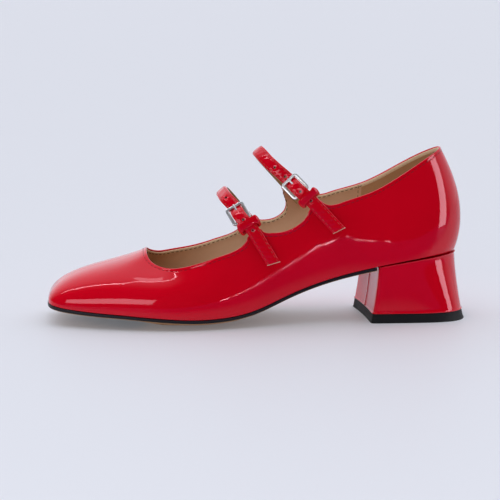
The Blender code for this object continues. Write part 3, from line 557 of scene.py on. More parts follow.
class Ear:
    """Raised part of the topline that carries a strap's lap or a buckle's chape."""

    EDGE_STEPS = 60

    def __init__(self, route: StrapRoute, spring: Spring) -> None:
        """Places the ear's two corners under the strap and its feet on the topline.

        Args:
            route: the strap that it carries.
            spring: where it springs from the topline.
        """
        self.side = spring.side
        if self.side is Side.LATERAL:
            mark = route.hinge_mark + EAR_TOP_AFTER_HINGE
            depth = -(STRAP_THICK + CHAPE_EASE + CHAPE_THICK + GAP)
        else:
            mark = route.mark_near(*route.plan.lap_top)
            depth = GAP + WALL
        self.corners = (route.place(mark, -STRAP_WIDTH / 2 - spring.front_extra, depth),
                        route.place(mark, STRAP_WIDTH / 2 + EAR_BACK_EXTRA, depth))
        self.down = route.axes(mark)[0] * -self.side.value
        rows = np.linspace(*EAR_ROWS, 400)
        line = np.array([base_top(self.side, u)[0] for u in rows])
        self.shoulders = [float(np.interp(corner[0] + lean, line, rows))
                          for corner, lean in zip(self.corners, spring.leans)]
        self.feet = [float(np.interp(x, line, rows)) for x in (spring.front_x, spring.back_x)]
        self.edges = [self.edge(end, spring) for end in (0, 1)]

    def edge(self, end: int, spring: Spring) -> Array:
        """One hollow side of the ear.

        Args:
            end: 0 for the front side, 1 for the back one.
            spring: slopes and hollow of the sides.

        Returns:
            Points from its corner down to the topline.
        """
        top, foot = self.corners[end], base_top(self.side, self.feet[end])
        slope = (spring.front_slope, spring.back_slope)[end]
        inward = unit(np.array([1.0, 0.0, slope])) * (1 - 2 * end)
        drop = np.linalg.norm(top - foot)
        controls = [top, top + self.down * drop * 0.5, foot + inward * drop * spring.hollow, foot]
        if end == 0 and self.side is Side.LATERAL:
            controls[1:3] = [top + EAR_FRONT_FALL * drop, foot + inward * drop * EAR_FRONT_HOLLOW]
        return bezier(controls, self.EDGE_STEPS)

    def covers(self, u: float) -> bool:
        """Whether the ear stands on a section."""
        return self.feet[0] < u < self.feet[1]

    def outline(self, u: float) -> Array:
        """Topline with the ear: across its top, or down one of its hollow sides.

        Args:
            u: section number.

        Returns:
            The point of the edge.
        """
        front, back = self.shoulders
        if front <= u <= back:
            share = (u - front) / (back - front)
            return self.corners[0] * (1 - share) + self.corners[1] * share
        end = 0 if u < front else 1
        share = (u - self.shoulders[end]) / (self.feet[end] - self.shoulders[end])
        return at_lengths(self.edges[end], share * lengths(self.edges[end])[-1])


class Quarter:
    """One side of the upper, carried on smoothly above the topline to the tops of its ears."""

    LINES = 220
    TABLE_STEPS = 80
    LINE_STEPS = 60
    HEIGHTS = np.linspace(0.0, 110.0, 551)
    FOLLOW = 1.5  # power with which a wall line leans over to its place on an ear

    def __init__(self, side: Side, ears: Sequence[Ear]) -> None:
        """Tabulates the plain wall, and how it bends above the topline to reach the ears.

        Args:
            side: side of the foot.
            ears: the two ears that stand on it.
        """
        self.side, self.ears = side, ears
        us = np.linspace(EAR_ROWS[0] - 0.5, EAR_ROWS[1] + 0.5, self.LINES)
        controls = [wall_line(side, u) for u in us]
        lines = [bezier(line, self.TABLE_STEPS) for line in controls]
        self.level = np.array([[np.interp(self.HEIGHTS, line[:, 2], line[:, k]) for k in (0, 1)]
                               for line in lines])
        self.tops = np.array([line[-1] for line in controls])
        ends = [line[-1] - line[-2] for line in controls]
        self.leans = [end[1] / end[2] for end in ends]
        corners = [corner for ear in ears for corner in ear.corners]
        self.corner_xs = [corner[0] for corner in corners]
        self.curls = [(c[1] - self.straight(c[0], c[2])) / self.rise(c[0], c[2]) ** 2 for c in corners]

    def rise(self, x: float, z: float) -> float:
        """Height above the topline without ears."""
        return z - np.interp(x, self.tops[:, 0], self.tops[:, 2])

    def straight(self, x: float, z: float) -> float:
        """Straight continuation of the wall above the topline."""
        return (np.interp(x, self.tops[:, 0], self.tops[:, 1])
                + np.interp(x, self.tops[:, 0], self.leans) * self.rise(x, z))

    def point(self, x: float, z: float) -> Array:
        """Point of the wall's outer face at a place seen from the side.

        Args:
            x: place along the shoe.
            z: height.

        Returns:
            The point.
        """
        if self.rise(x, z) > 0:
            curl = np.interp(x, self.corner_xs, self.curls)
            return np.array([x, self.straight(x, z) + curl * self.rise(x, z) ** 2, z])
        at = z / self.HEIGHTS[1]
        low = int(at)
        column = self.level[:, :, low] * (1 - at + low) + self.level[:, :, low + 1] * (at - low)
        return np.array([x, np.interp(x, column[:, 0], column[:, 1]), z])

    def line(self, u: float) -> Array:
        """Wall line from the feather line to the topline or to the edge of an ear.

        Args:
            u: section number.

        Returns:
            Its points, from the bottom.
        """
        line = bezier(wall_line(self.side, u), self.LINE_STEPS)
        ear = next((ear for ear in self.ears if ear.covers(u)), None)
        if ear is None:
            return line
        edge = ear.outline(u)
        stretch = (edge[2] - line[0][2]) / (line[-1][2] - line[0][2])
        moved = [line[0]]
        for share, point in zip(np.linspace(0, 1, self.LINE_STEPS)[1:], line[1:]):
            x = point[0] + (edge[0] - line[-1][0]) * share ** self.FOLLOW
            moved.append(self.point(x, line[0][2] + (point[2] - line[0][2]) * stretch))
        return np.array(moved)


# ---- meshes ----
def add_object(name: str, data: bpy.types.ID) -> Piece:
    """Puts a new object in the scene.

    Args:
        name: its name.
        data: the mesh, light or camera that it holds.

    Returns:
        The object.
    """
    obj = bpy.data.objects.new(name, data)
    bpy.context.scene.collection.objects.link(obj)
    return obj


def loft(name: str, rings: Sequence, materials: Sequence, slots: Array | Sequence | int = 0,
         closed: bool = False, sharp: float = 40.0, cap_slot: int = 0) -> Piece:
    """Solid through rings of equal count, in the maker's millimetres.

    Args:
        name: the piece's name.
        rings: rings of points, each closed.
        materials: what it is made of.
        slots: material number of the face that starts at each ring and each place on it.
        closed: whether the last ring joins the first; if not, both ends are capped.
        sharp: angle above which an edge is left crisp, in degrees.
        cap_slot: material number of the two caps.

    Returns:
        The object, in the frame, closed and facing outwards.
    """
    rings = np.array(rings)
    rows, columns = rings.shape[:2]
    faces = []
    for row in range(rows if closed else rows - 1):
        here, down = row * columns, (row + 1) % rows * columns
        for place in range(columns):
            beside = (place + 1) % columns
            faces.append((here + place, here + beside, down + beside, down + place))
    slots = np.broadcast_to(slots, (rows, columns)).ravel()[:len(faces)]
    if not closed:
        faces += [tuple(range(columns))[::-1], tuple(range((rows - 1) * columns, rows * columns))]
        slots = np.append(slots, [cap_slot] * 2)
    mesh = bpy.data.meshes.new(name)
    mesh.from_pydata(((rings.reshape(-1, 3) - CENTRE) * MM).tolist(), [], faces)
    for material in materials:
        mesh.materials.append(material)
    mesh.polygons.foreach_set("material_index", slots.astype(np.int32))
    bm = bmesh.new()
    bm.from_mesh(mesh)
    bmesh.ops.remove_doubles(bm, verts=bm.verts, dist=1e-6)
    bmesh.ops.dissolve_degenerate(bm, edges=bm.edges, dist=1e-7)
    bmesh.ops.recalc_face_normals(bm, faces=bm.faces)
    if bm.calc_volume(signed=True) < 0:
        bmesh.ops.reverse_faces(bm, faces=bm.faces)
    bm.to_mesh(mesh)
    bm.free()
    mesh.shade_smooth()
    mesh.set_sharp_from_angle(angle=math.radians(sharp))
    return add_object(name, mesh)


def sweep(line: Array, sides: Array, outs: Array, profile: Sequence[Pair]) -> Array:
    """Rings of a closed profile carried along a line, its numbers along sides and outs."""
    return np.array([[point + side * s + out * o for s, o in profile]
                     for point, side, out in zip(line, sides, outs)])


def show(obj: Piece, slot: str, *nodes: str) -> None:
    """Puts a finished piece on the body, in place of the CAD nodes that it stands for.

    Args:
        obj: the piece.
        slot: not used.
        nodes: the CAD nodes.
    """
    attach(obj, BODY)
    if nodes:
        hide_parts(*nodes)
    LOG.info("%s: %d faces", obj.name, len(obj.data.polygons))


# ---- finishes ----
def linear(code: str) -> tuple[float, float, float, float]:
    """Linear colour of an sRGB hex code.

    Args:
        code: a hash and six hex digits.

    Returns:
        Red, green, blue and an alpha of one.
    """
    channels = [int(code[k:k + 2], 16) / 255 for k in (1, 3, 5)]
    flat = [c / 12.92 if c <= 0.04045 else ((c + 0.055) / 1.055) ** 2.4 for c in channels]
    return (*flat, 1.0)


def add_node(tree: Tree, kind: str, settings: dict | None = None,
             links: dict | None = None) -> bpy.types.Node:
    """Adds a node, sets its properties and sockets, and links its inputs.

    Args:
        tree: the node tree.
        kind: the node's type name.
        settings: property name, or input name or number, to value.
        links: input name or number to the output that feeds it.

    Returns:
        The node.
    """
    node = tree.nodes.new(kind)
    for key, value in (settings or {}).items():
        if isinstance(key, str) and hasattr(node, key):
            setattr(node, key, value)
        else:
            node.inputs[key].default_value = value
    for key, source in (links or {}).items():
        tree.links.new(source, node.inputs[key])
    return node


class Finish:
    """A material under way: one Principled shader, and what is laid on it."""

    def __init__(self, name: str, **sockets: float | tuple) -> None:
        """Starts the material.

        Args:
            name: its name.
            sockets: values of the shader's sockets, with _ for the spaces in their names.
        """
        self.material = bpy.data.materials.new(name)
        self.material.use_nodes = True
        self.tree = self.material.node_tree
        self.shader = self.tree.nodes["Principled BSDF"]
        self.place = add_node(self.tree, "ShaderNodeTexCoord").outputs["Object"]
        for key, value in sockets.items():
            self.shader.inputs[key.replace("_", " ")].default_value = value

    def noise(self, size_mm: float, detail: float, stretch: Triple = (1.0, 1.0, 1.0)
              ) -> Socket:
        """Noise of a size on the piece's own coordinates, drawn in along the axes by stretch."""
        turn = add_node(self.tree, "ShaderNodeMapping", {"Scale": stretch}, {"Vector": self.place})
        return add_node(self.tree, "ShaderNodeTexNoise", {"Scale": 1 / (size_mm * MM), "Detail": detail},
                        {"Vector": turn.outputs[0]}).outputs[0]

    def feed(self, socket: str, source: Socket) -> None:
        """Links a socket of the shader."""
        self.tree.links.new(source, self.shader.inputs[socket])

    def mottle(self, light: str, dark: str, size_mm: float, detail: float) -> None:
        """Lets the colour drift between two shades.

        Args:
            light: hex colour of the one.
            dark: hex colour of the other.
            size_mm: about how wide the clouds are.
            detail: how many finer layers they carry.
        """
        cloud = self.noise(size_mm, detail)
        mix = add_node(self.tree, "ShaderNodeMix", {"data_type": "RGBA", 6: linear(light), 7: linear(dark)},
                       {0: cloud})
        self.feed("Base Color", mix.outputs[2])

    def vary_roughness(self, source: Socket, low: float, high: float) -> None:
        """Lets the roughness drift between two values with a noise."""
        rough = add_node(self.tree, "ShaderNodeMapRange", {"To Min": low, "To Max": high},
                         {"Value": source})
        self.feed("Roughness", rough.outputs[0])

    def raise_by(self, height: Socket, depth_mm: float) -> None:
        """Raises the surface by depth_mm where the height is one."""
        bump = add_node(self.tree, "ShaderNodeBump", {"Strength": 1.0, "Distance": depth_mm * MM},
                        {"Height": height})
        self.feed("Normal", bump.outputs[0])


@dataclass(frozen=True)
class PatentLeather:
    """Calf split under a thick polyurethane film: a wet mirror over a soft, slightly rolling hide."""

    name: str = "patent_leather"
    colour: str = "#E40020"
    shade: str = "#D6001A"
    tint: str = "#FFD0E0"
    roughness: float = 0.05
    cloud_mm: float = 30.0
    ripple_mm: float = 26.0  # the film rolls gently over the hide
    ripple_depth_mm: float = 0.05
    peel_mm: float = 2.2  # orange peel of the film
    peel_depth_mm: float = 0.0012

    def make(self) -> Material:
        """Builds the material.

        Returns:
            It.
        """
        finish = Finish(self.name, Roughness=self.roughness, IOR=1.5, Specular_Tint=linear(self.tint))
        finish.mottle(self.colour, self.shade, self.cloud_mm, 1.0)
        ripple = finish.noise(self.ripple_mm, 0.0)
        peel = finish.noise(self.peel_mm, 1.0)
        roll = add_node(finish.tree, "ShaderNodeMath", {"operation": "MULTIPLY", 1: self.ripple_depth_mm},
                        {0: ripple})
        both = add_node(finish.tree, "ShaderNodeMath",
                        {"operation": "MULTIPLY_ADD", 1: self.peel_depth_mm},
                        {0: peel, 2: roll.outputs[0]})
        finish.raise_by(both.outputs[0], 1.0)
        return finish.material


@dataclass(frozen=True)
class Hide:
    """Undyed or dyed leather with an open grain: linings, socks, raw edges, suede. Some of these colours
    also carry painted light: the lining's lighter fold, the darkened sock and the near-black hole walls.
    """

    name: str
    light: str
    dark: str
    roughness: float
    grain_mm: float
    grain_depth_mm: float
    sheen: float = 0.0
    cloud_mm: float = 14.0

    def make(self) -> Material:
        """Builds the material.

        Returns:
            It.
        """
        finish = Finish(self.name, Roughness=self.roughness, IOR=1.45, Sheen_Weight=self.sheen,
                        Sheen_Roughness=0.4, Specular_IOR_Level=0.35)
        finish.mottle(self.light, self.dark, self.cloud_mm, 4.0)
        cells = add_node(finish.tree, "ShaderNodeTexVoronoi",
                         {"feature": "DISTANCE_TO_EDGE", "Scale": 1 / (self.grain_mm * MM)},
                         {"Vector": finish.place})
        grain = add_node(finish.tree, "ShaderNodeMapRange", {"From Max": 0.25}, {"Value": cells.outputs[0]})
        finish.raise_by(grain.outputs[0], self.grain_depth_mm)
        return finish.material


@dataclass(frozen=True)
class MouldedRubber:
    """Dense black rubber, satin from its mould, with a fine even stipple."""

    name: str
    colour: str
    roughness: float
    wear_mm: float = 9.0
    stipple_mm: float = 0.5
    stipple_depth_mm: float = 0.02

    def make(self) -> Material:
        """Builds the material.

        Returns:
            It.
        """
        finish = Finish(self.name, Base_Color=linear(self.colour), IOR=1.5, Specular_IOR_Level=0.25)
        wear = finish.noise(self.wear_mm, 3.0)
        finish.vary_roughness(wear, self.roughness - 0.08, self.roughness + 0.1)
        finish.raise_by(finish.noise(self.stipple_mm, 2.0), self.stipple_depth_mm)
        return finish.material


@dataclass(frozen=True)
class PlatedSteel:
    """Die-cast buckle metal, nickel plated and polished: cool, bright, with faint buffing lines."""

    name: str = "nickel_plate"
    colour: str = "#E8E9EC"
    roughness: float = 0.3
    line_mm: float = 0.6
    line_depth_mm: float = 0.004

    def make(self) -> Material:
        """Builds the material.

        Returns:
            It.
        """
        finish = Finish(self.name, Base_Color=linear(self.colour), Metallic=1.0)
        lines = finish.noise(self.line_mm, 2.0, (1.0, 1.0, 4.0))
        finish.vary_roughness(lines, self.roughness * 0.6, self.roughness * 1.5)
        finish.raise_by(lines, self.line_depth_mm)
        return finish.material


@dataclass(frozen=True)
class Thread:
    """Bonded polyester sewing thread: plies that wind round each other, with a low sheen."""

    name: str
    colour: str
    ply_mm: float = 1.2
    ply_depth_mm: float = 0.05

    def make(self) -> Material:
        """Builds the material.

        Returns:
            It.
        """
        finish = Finish(self.name, Base_Color=linear(self.colour), Roughness=0.6, Specular_IOR_Level=0.2)
        plies = add_node(finish.tree, "ShaderNodeTexWave",
                         {"Scale": 1 / (self.ply_mm * MM), "Distortion": 1.0},
                         {"Vector": finish.place})
        finish.raise_by(plies.outputs[1], self.ply_depth_mm)
        return finish.material


PATENT = PatentLeather().make()
STRAP_PATENT = PatentLeather("strap_patent_leather", ripple_mm=5.5, ripple_depth_mm=0.06, peel_mm=1.3,
                             peel_depth_mm=0.006).make()
LINING = Hide("lining_leather", "#E6BC98", "#D8AC86", 0.5, 0.9, 0.02).make()
# the lining's own fold along the topline, in the lining tan painted lighter and yellower: partly its
# colour, partly a painted highlight where the fold turns up into the light
LINING_EDGE_HIGHLIGHT = Hide("folded_lining_edge_painted_highlight", "#EFD3AE", "#E4C49C", 0.55, 0.9, 0.02).make()
HEEL_GRIP = Hide("heel_grip_suede", "#D4A478", "#C09064", 0.9, 0.35, 0.05, 0.5).make()
# the sock insole's own tan, darkened to stand in for the shade deep inside the shoe: partly its colour,
# partly painted shade
SOCK_AND_PAINTED_SHADE = Hide("sock_leather_and_painted_shade", "#A67C58", "#98704C", 0.55, 1.1, 0.02).make()
RAW_EDGE = Hide("raw_edge", "#F0D2C0", "#E0B09C", 0.7, 0.3, 0.05).make()
HOLE_LIP = Hide("hole_lip", "#E8A0A0", "#D07C80", 0.6, 0.3, 0.03).make()
# near-black wall deep in each punched hole, below its pale lip: painted shade in the hole's depth
HOLE_PAINTED_SHADE = Hide("hole_core", "#2A1512", "#1C0E0C", 0.9, 0.3, 0.03).make()
STRAP_BACK = Hide("strap_lining", "#B8956A", "#A8855A", 0.55, 0.7, 0.02).make()
SOLE_EDGE = MouldedRubber("sole_edge_black", "#1B191F", 0.38).make()
SOLE_FACE = Hide("sole_face", "#B58A62", "#A67B54", 0.5, 0.6, 0.02).make()
LIFT_RUBBER = MouldedRubber("top_lift_rubber", "#0C0D12", 0.6).make()
NICKEL = PlatedSteel().make()
RED_THREAD = Thread("red_thread", "#86101C").make()
STRAP_THREAD = Thread("bright_red_thread", "#C8443C").make()
TAN_THREAD = Thread("brown_thread", "#6E5034").make()


# ---- geometry nodes ----
class StitchTree:
    """Node tree that turns lines into rows of thread stitches.

    Each stitch is one small pill laid along the line, half sunk in the leather.
    """

    NAME = "rows_of_stitches"
    INPUTS = (("Geometry", "NodeSocketGeometry"), ("Pitch", "NodeSocketFloat"),
              ("Length", "NodeSocketFloat"), ("Radius", "NodeSocketFloat"),
              ("Thread", "NodeSocketMaterial"))
    LINE_STEP = 0.8  # between the points of a line that is sewn

    def __init__(self) -> None:
        """Builds the tree once, with its sizes as named inputs."""
        self.tree = tree = bpy.data.node_groups.new(self.NAME, "GeometryNodeTree")
        for name, kind in self.INPUTS:
            tree.interface.new_socket(name, in_out="INPUT", socket_type=kind)
        tree.interface.new_socket("Geometry", in_out="OUTPUT", socket_type="NodeSocketGeometry")
        given = add_node(tree, "NodeGroupInput").outputs
        line = add_node(tree, "GeometryNodeMeshToCurve", links={"Mesh": given["Geometry"]})
        spaced = add_node(tree, "GeometryNodeResampleCurve", {"mode": "LENGTH"},
                          {"Curve": line.outputs[0], "Length": given["Pitch"]})
        tangent = add_node(tree, "GeometryNodeInputTangent")
        turn = add_node(tree, "FunctionNodeAlignRotationToVector", {"axis": "Z"},
                        {"Vector": tangent.outputs[0]})
        rows = add_node(tree, "GeometryNodeInstanceOnPoints",
                        links={"Points": spaced.outputs[0], "Instance": self.pill(given),
                               "Rotation": turn.outputs[0]})
        real = add_node(tree, "GeometryNodeRealizeInstances", links={"Geometry": rows.outputs[0]})
        dressed = add_node(tree, "GeometryNodeSetMaterial",
                           links={"Geometry": real.outputs[0], "Material": given["Thread"]})
        add_node(tree, "NodeGroupOutput", links={"Geometry": dressed.outputs[0]})

    def pill(self, given: bpy.types.bpy_prop_collection) -> Socket:
        """Thread between two holes: a low ball drawn out along its own Z.

        Args:
            given: outputs of the tree's input node.

        Returns:
            The output that carries the mesh.
        """
        ball = add_node(self.tree, "GeometryNodeMeshUVSphere", {"Segments": 6, "Rings": 5, "Radius": 1.0})
        half = add_node(self.tree, "ShaderNodeMath", {"operation": "MULTIPLY", 1: 0.5},
                        {0: given["Length"]})
        size = add_node(self.tree, "ShaderNodeCombineXYZ",
                        links={0: given["Radius"], 1: given["Radius"], 2: half.outputs[0]})
        drawn = add_node(self.tree, "GeometryNodeTransform",
                         links={"Geometry": ball.outputs[0], "Scale": size.outputs[0]})
        return drawn.outputs[0]

    def sew(self, name: str, lines: Sequence[Array], thread: Material,
            radius: float = 0.2, length: float = 2.2) -> Piece:
        """Sews rows of stitches along lines.

        Args:
            name: the piece's name.
            lines: open lines of points in the maker's millimetres.
            thread: material of the stitches.
            radius: half of the thread's thickness.
            length: visible length of a stitch.

        Returns:
            The stitches as one plain mesh.
        """
        points, edges = [], []
        for line in lines:
            run = lengths(line)[-1]
            even = at_lengths(line, np.linspace(0, run, max(3, int(run / self.LINE_STEP))))
            edges += [(len(points) + k, len(points) + k + 1) for k in range(len(even) - 1)]
            points += ((even - CENTRE) * MM).tolist()
        mesh = bpy.data.meshes.new(name + "_line")
        mesh.from_pydata(points, edges, [])
        carrier = add_object(name + "_line", mesh)
        modifier = carrier.modifiers.new("stitches", "NODES")
        modifier.node_group = self.tree
        values = {"Pitch": STITCH_PITCH * MM, "Length": length * MM, "Radius": radius * MM,
                  "Thread": thread}
        for item in self.tree.interface.items_tree:
            if item.in_out == "INPUT" and item.name in values:
                modifier[item.identifier] = values[item.name]
        sewn = plain_mesh(carrier)
        carrier.modifiers.remove(modifier)
        bpy.data.objects.remove(carrier)
        sewn.name = name
        sewn.shade_smooth()
        return add_object(name, sewn)


def plain_mesh(obj: Piece) -> bpy.types.Mesh:
    """A piece's mesh as its modifiers leave it."""
    graph = bpy.context.evaluated_depsgraph_get()
    return bpy.data.meshes.new_from_object(obj.evaluated_get(graph), depsgraph=graph)


def cut(obj: Piece, punch: Piece) -> None:
    """Cuts one piece by another and removes the other.

    Args:
        obj: the piece that is cut.
        punch: the piece that cuts it.
    """
    modifier = obj.modifiers.new("cut", "BOOLEAN")
    modifier.operation = "DIFFERENCE"
    modifier.solver = "EXACT"
    modifier.material_mode = "TRANSFER"
    modifier.object = punch
    mesh = plain_mesh(obj)
    obj.modifiers.remove(modifier)
    obj.data = mesh
    bpy.data.objects.remove(punch)


# ---- the upper ----
@dataclass(frozen=True)
class Crease:
    """A soft trough with a ridge beside it, drawn on the shoe's side.

    x and z place its middle; length and width are half sizes along and across it; turn is the angle
    of its length from +X towards +Z, in degrees; depth is the trough's, negative for a swelling.
    """

    side: Side
    x: float
    z: float
    length: float
    width: float
    turn: float
    depth: float

    RIDGE_SHARE, RIDGE_GAP = 0.7, 1.7  # height and distance of the ridge, by depth and width


CREASES = (
    Crease(Side.LATERAL, 42.0, 37.0, 34.0, 15.0, 24.0, -0.55),
    Crease(Side.LATERAL, 84.0, 78.0, 20.0, 3.2, 96.0, 0.10),
    Crease(Side.LATERAL, 92.0, 64.0, 16.0, 3.0, 82.0, 0.10),
    Crease(Side.LATERAL, 52.0, 50.0, 10.0, 2.6, 24.0, 0.04),
    Crease(Side.LATERAL, 32.0, 42.0, 9.0, 2.6, 60.0, 0.04),
    Crease(Side.LATERAL, -46.0, 22.0, 12.0, 3.0, 22.0, 0.10),
    Crease(Side.LATERAL, -66.0, 30.0, 11.0, 4.0, 60.0, 0.05),
    Crease(Side.LATERAL, -20.0, 30.0, 12.0, 4.0, 50.0, 0.06),
    Crease(Side.MEDIAL, 80.0, 72.0, 18.0, 3.4, 92.0, 0.10),
    Crease(Side.MEDIAL, 58.0, 46.0, 16.0, 3.4, 26.0, 0.12),
    Crease(Side.MEDIAL, -44.0, 24.0, 12.0, 3.0, 30.0, 0.12),
    Crease(Side.MEDIAL, -62.0, 30.0, 11.0, 2.6, 60.0, 0.10),
)


@dataclass
class Upper:
    """Closed patent shell: outer skin, folded rim, lining, heel grip and lasting margin.

    Its sizes are in millimetres. The skin is a grid: a ray down the wall for each of its places round
    the topline, and a row for each distance below the folded edge.
    """

    ray_count: int = 420
    below_edge: tuple[float, ...] = (0.5, 0.9, 1.3, 1.65, 2.0, 2.35, 2.7, 3.3, 4.2, 5.6, 7.6)
    body_rows: int = 26
    body_step: float = 3.0  # about how far apart the rows of the body are
    body_crowd: float = 0.2  # how much they crowd upwards
    stitch_inset: float = 2.0
    lining_stitch_inset: float = 1.85
    stitch_groove: float = 0.07
    groove_width: float = 0.42
    edge_puff: float = 0.12
    puff_reach: float = 1.6
    grip_seam_x: float = 66.0
    grip_row: float = 1.8  # how far before the seam its stitches run
    grip_step: float = 0.3
    margin_share: float = 0.75  # most of the bottom's half width that the margin may take
    ear_weight: float = 90.0  # how strongly the rays crowd at the ears
    turn_weight: float = 1.5  # and evenly over the sections
    steepest: float = 0.42  # least sine that a ray's angle with the topline counts as
    # section of the topline's edge: patent folded over, with the lining's own fold just inside it
    rim_depth: tuple[float, ...] = (0.06, 0.25, 0.5, 0.75, 0.95, 1.02, 1.1, 1.3, 1.55, 1.74, 1.8)
    rim_height: tuple[float, ...] = (
        -0.22, -0.05, 0.0, -0.05, -0.24, -0.8, -0.62, -0.55, -0.6, -0.75, -1.0)
    rim_red_rows: int = 5

    PATENT_SLOT, EDGE_SLOT, LINING_SLOT, GRIP_SLOT = range(4)
    MARGIN_POINTS = 5

    def __post_init__(self) -> None:
        """Lays the outer skin with its normals and its relief."""
        self.quarters = {side: Quarter(side, [Ear(route, spring) for route in ROUTES for spring in SPRINGS
                                              if spring.strap == route.plan.name and spring.side is side])
                         for side in Side}
        self.rays = self.even_rays()
        self.skin = self.lay_skin()
        self.normals = self.skin_normals()
        self.use_wall_normals()
        self.skin = self.skin + self.normals * self.relief()[..., None]

    def even_rays(self) -> list[tuple[Side, float]]:
        """Spreads the rays, crowded where the topline turns and at the ears.

        Returns:
            Side and section number of each, once round the shoe.
        """
        probe = np.linspace(0, LAST_ROW, 1200)
        low = np.array([foot_point(Side.LATERAL, u) for u in probe])
        high = np.array([base_top(Side.LATERAL, u) for u in probe])
        weight = (lengths(low) / 2 + lengths(high)
                  + lengths(np.column_stack([probe, probe])) * self.turn_weight)
        ears = np.clip((probe - EAR_ROWS[0]) / (EAR_ROWS[1] - EAR_ROWS[0]), 0, 1) * self.ear_weight
        weight = weight + ears
        half = np.interp(np.linspace(0, weight[-1], self.ray_count // 2 + 1), weight, probe)
        return ([(Side.LATERAL, float(u)) for u in half]
                + [(Side.MEDIAL, float(u)) for u in half[-2:0:-1]])

    def lay_skin(self) -> Array:
        """Draws the wall lines in rows from the topline's edge down to the feather line.

        Returns:
            The grid of points, ray by ray.
        """
        skin = []
        lines = [self.quarters[side].line(u)[::-1] for side, u in self.rays]
        edge = np.array([line[0] for line in lines])
        for line, way in zip(lines, directions(edge, closed=True)):
            run = lengths(line)[-1]
            slope = unit(at_lengths(line, self.body_step) - line[0])
            sine = math.sqrt(max(0.0, 1 - (slope @ way) ** 2))
            near = np.array(self.below_edge) / max(self.steepest, sine)
            body = np.linspace(0, 1, self.body_rows + 1)[1:]
            body = body * (1 - self.body_crowd) + self.body_crowd * body ** 1.4
            body = near[-1] + (run - near[-1]) * body
            skin.append(at_lengths(line, np.concatenate((near, body))))
        return np.array(skin)

    def skin_normals(self) -> Array:
        """Outward normals of the grid of the outer skin.

        Returns:
            One for each of its points.
        """
        around = np.roll(self.skin, -1, axis=0) - np.roll(self.skin, 1, axis=0)
        normals = unit(np.cross(np.gradient(self.skin, axis=1), around))
        outward = np.sum(self.skin[..., :2] * normals[..., :2]) >= 0
        return normals if outward else -normals

    def use_wall_normals(self) -> None:
        """Takes the ears' normals from the wall's own face, which runs on smoothly through them."""
        step, margin, onset, fade = 0.6, 0.3, 1.2, 2.5
        for ray, (side, u) in enumerate(self.rays):
            share = min(1.0, onset * min(u - EAR_ROWS[0] + margin, EAR_ROWS[1] + margin - u))
            if share <= 0:
                continue
            point = self.quarters[side].point
            for k, (x, _, z) in enumerate(self.skin[ray]):
                slope_x = (point(x + step, z)[1] - point(x - step, z)[1]) / (2 * step)
                slope_z = (point(x, z + step)[1] - point(x, z - step)[1]) / (2 * step)
                normal = unit(np.array([-slope_x, 1.0, -slope_z])) * side.value
                low = k / (len(self.skin[ray]) - 1)
                mix = share * float(np.clip((1 - low) * fade, 0, 1))
                self.normals[ray, k] = unit(self.normals[ray, k] * (1 - mix) + normal * mix)

    def relief(self) -> Array:
        """Height of the folded edge, the stitch line's groove and the creases over the smooth skin.

        Returns:
            One height for each point of the skin.
        """
        near = self.below_edge
        down = np.concatenate((near, near[-1] + self.body_step * np.arange(1, self.body_rows + 1)))
        down = np.broadcast_to(down, self.skin.shape[:2])
        height = -self.stitch_groove * hump(down - self.stitch_inset, self.groove_width)
        height += self.edge_puff * np.clip(self.puff_reach - down, 0, 1) ** 0.5 * (down < self.puff_reach)
        for crease in CREASES:
            x, z = self.skin[..., 0] - crease.x, self.skin[..., 2] - crease.z
            turn = math.radians(crease.turn)
            along = x * math.cos(turn) + z * math.sin(turn)
            across = z * math.cos(turn) - x * math.sin(turn)
            fade = hump(along, crease.length) * (self.skin[..., 1] * crease.side.value > 0)
            ridge = hump(across - crease.RIDGE_GAP * crease.width, crease.width)
            trough = hump(across, crease.width) - crease.RIDGE_SHARE * ridge
            height -= crease.depth * fade * trough
        return height

    def edge_frames(self) -> tuple[Array, Array, Array]:
        """Axes of the rim at every ray.

        Returns:
            Points of the topline's edge, directions into the shoe and directions up the wall.
        """
        up = unit(self.skin[:, 0] - self.skin[:, 1])
        along = directions(self.skin[:, 0], closed=True)
        up = unit(up - along * np.sum(up * along, axis=1, keepdims=True))
        out = self.normals[:, 1]
        out = unit(out - up * np.sum(out * up, axis=1, keepdims=True))
        return self.skin[:, 0] + up * self.below_edge[0], -out, up

    def inner_lines(self) -> Array:
        """Lining side of every ray.

        Returns:
            Its points, from below the rim to the turn.
        """
        rows = range(3, len(self.skin[0]) - 3, 2)
        thick = WALL + self.grip_step * (self.skin[:, :1, 0] > self.grip_seam_x)
        return np.stack([self.skin[:, k] - self.normals[:, k] * thick for k in rows], axis=1)

    def rings(self) -> Array:
        """Closed section of every ray.

        Returns:
            The rings: up the skin, over the rim, down the lining and round the lasting margin.
        """
        edge, inward, up = self.edge_frames()
        rim = [edge + inward * d + up * h for d, h in zip(self.rim_depth, self.rim_height)]
        last = []
        for side, u in self.rays:
            foot = foot_point(side, u)
            spine = spine_point(foot[0])
            turn = foot - foot_normal(side, u) * WALL + UP * MARGIN_THICK
            width = np.linalg.norm((foot - spine)[:2])
            share = 1 - min(MARGIN_WIDTH, self.margin_share * width) / width
            margin = bottom_point(side, u, 0.0, share, spine)
            half = bottom_point(side, u, 0.0, (share + 1) / 2, spine)
            last.append([turn, half + UP * MARGIN_THICK, margin + UP * MARGIN_THICK, margin, half])
        return np.concatenate((self.skin[:, ::-1], np.stack(rim, axis=1), self.inner_lines(),
                               np.array(last)), axis=1)

    def build(self) -> Piece:
        """Builds the shell and dresses each of its faces.

        Returns:
            The upper.
        """
        rings = self.rings()
        rim_start = self.skin.shape[1]
        leathers = np.full(rings.shape[:2], self.LINING_SLOT)
        leathers[self.skin[:, 0, 0] > self.grip_seam_x] = self.GRIP_SLOT
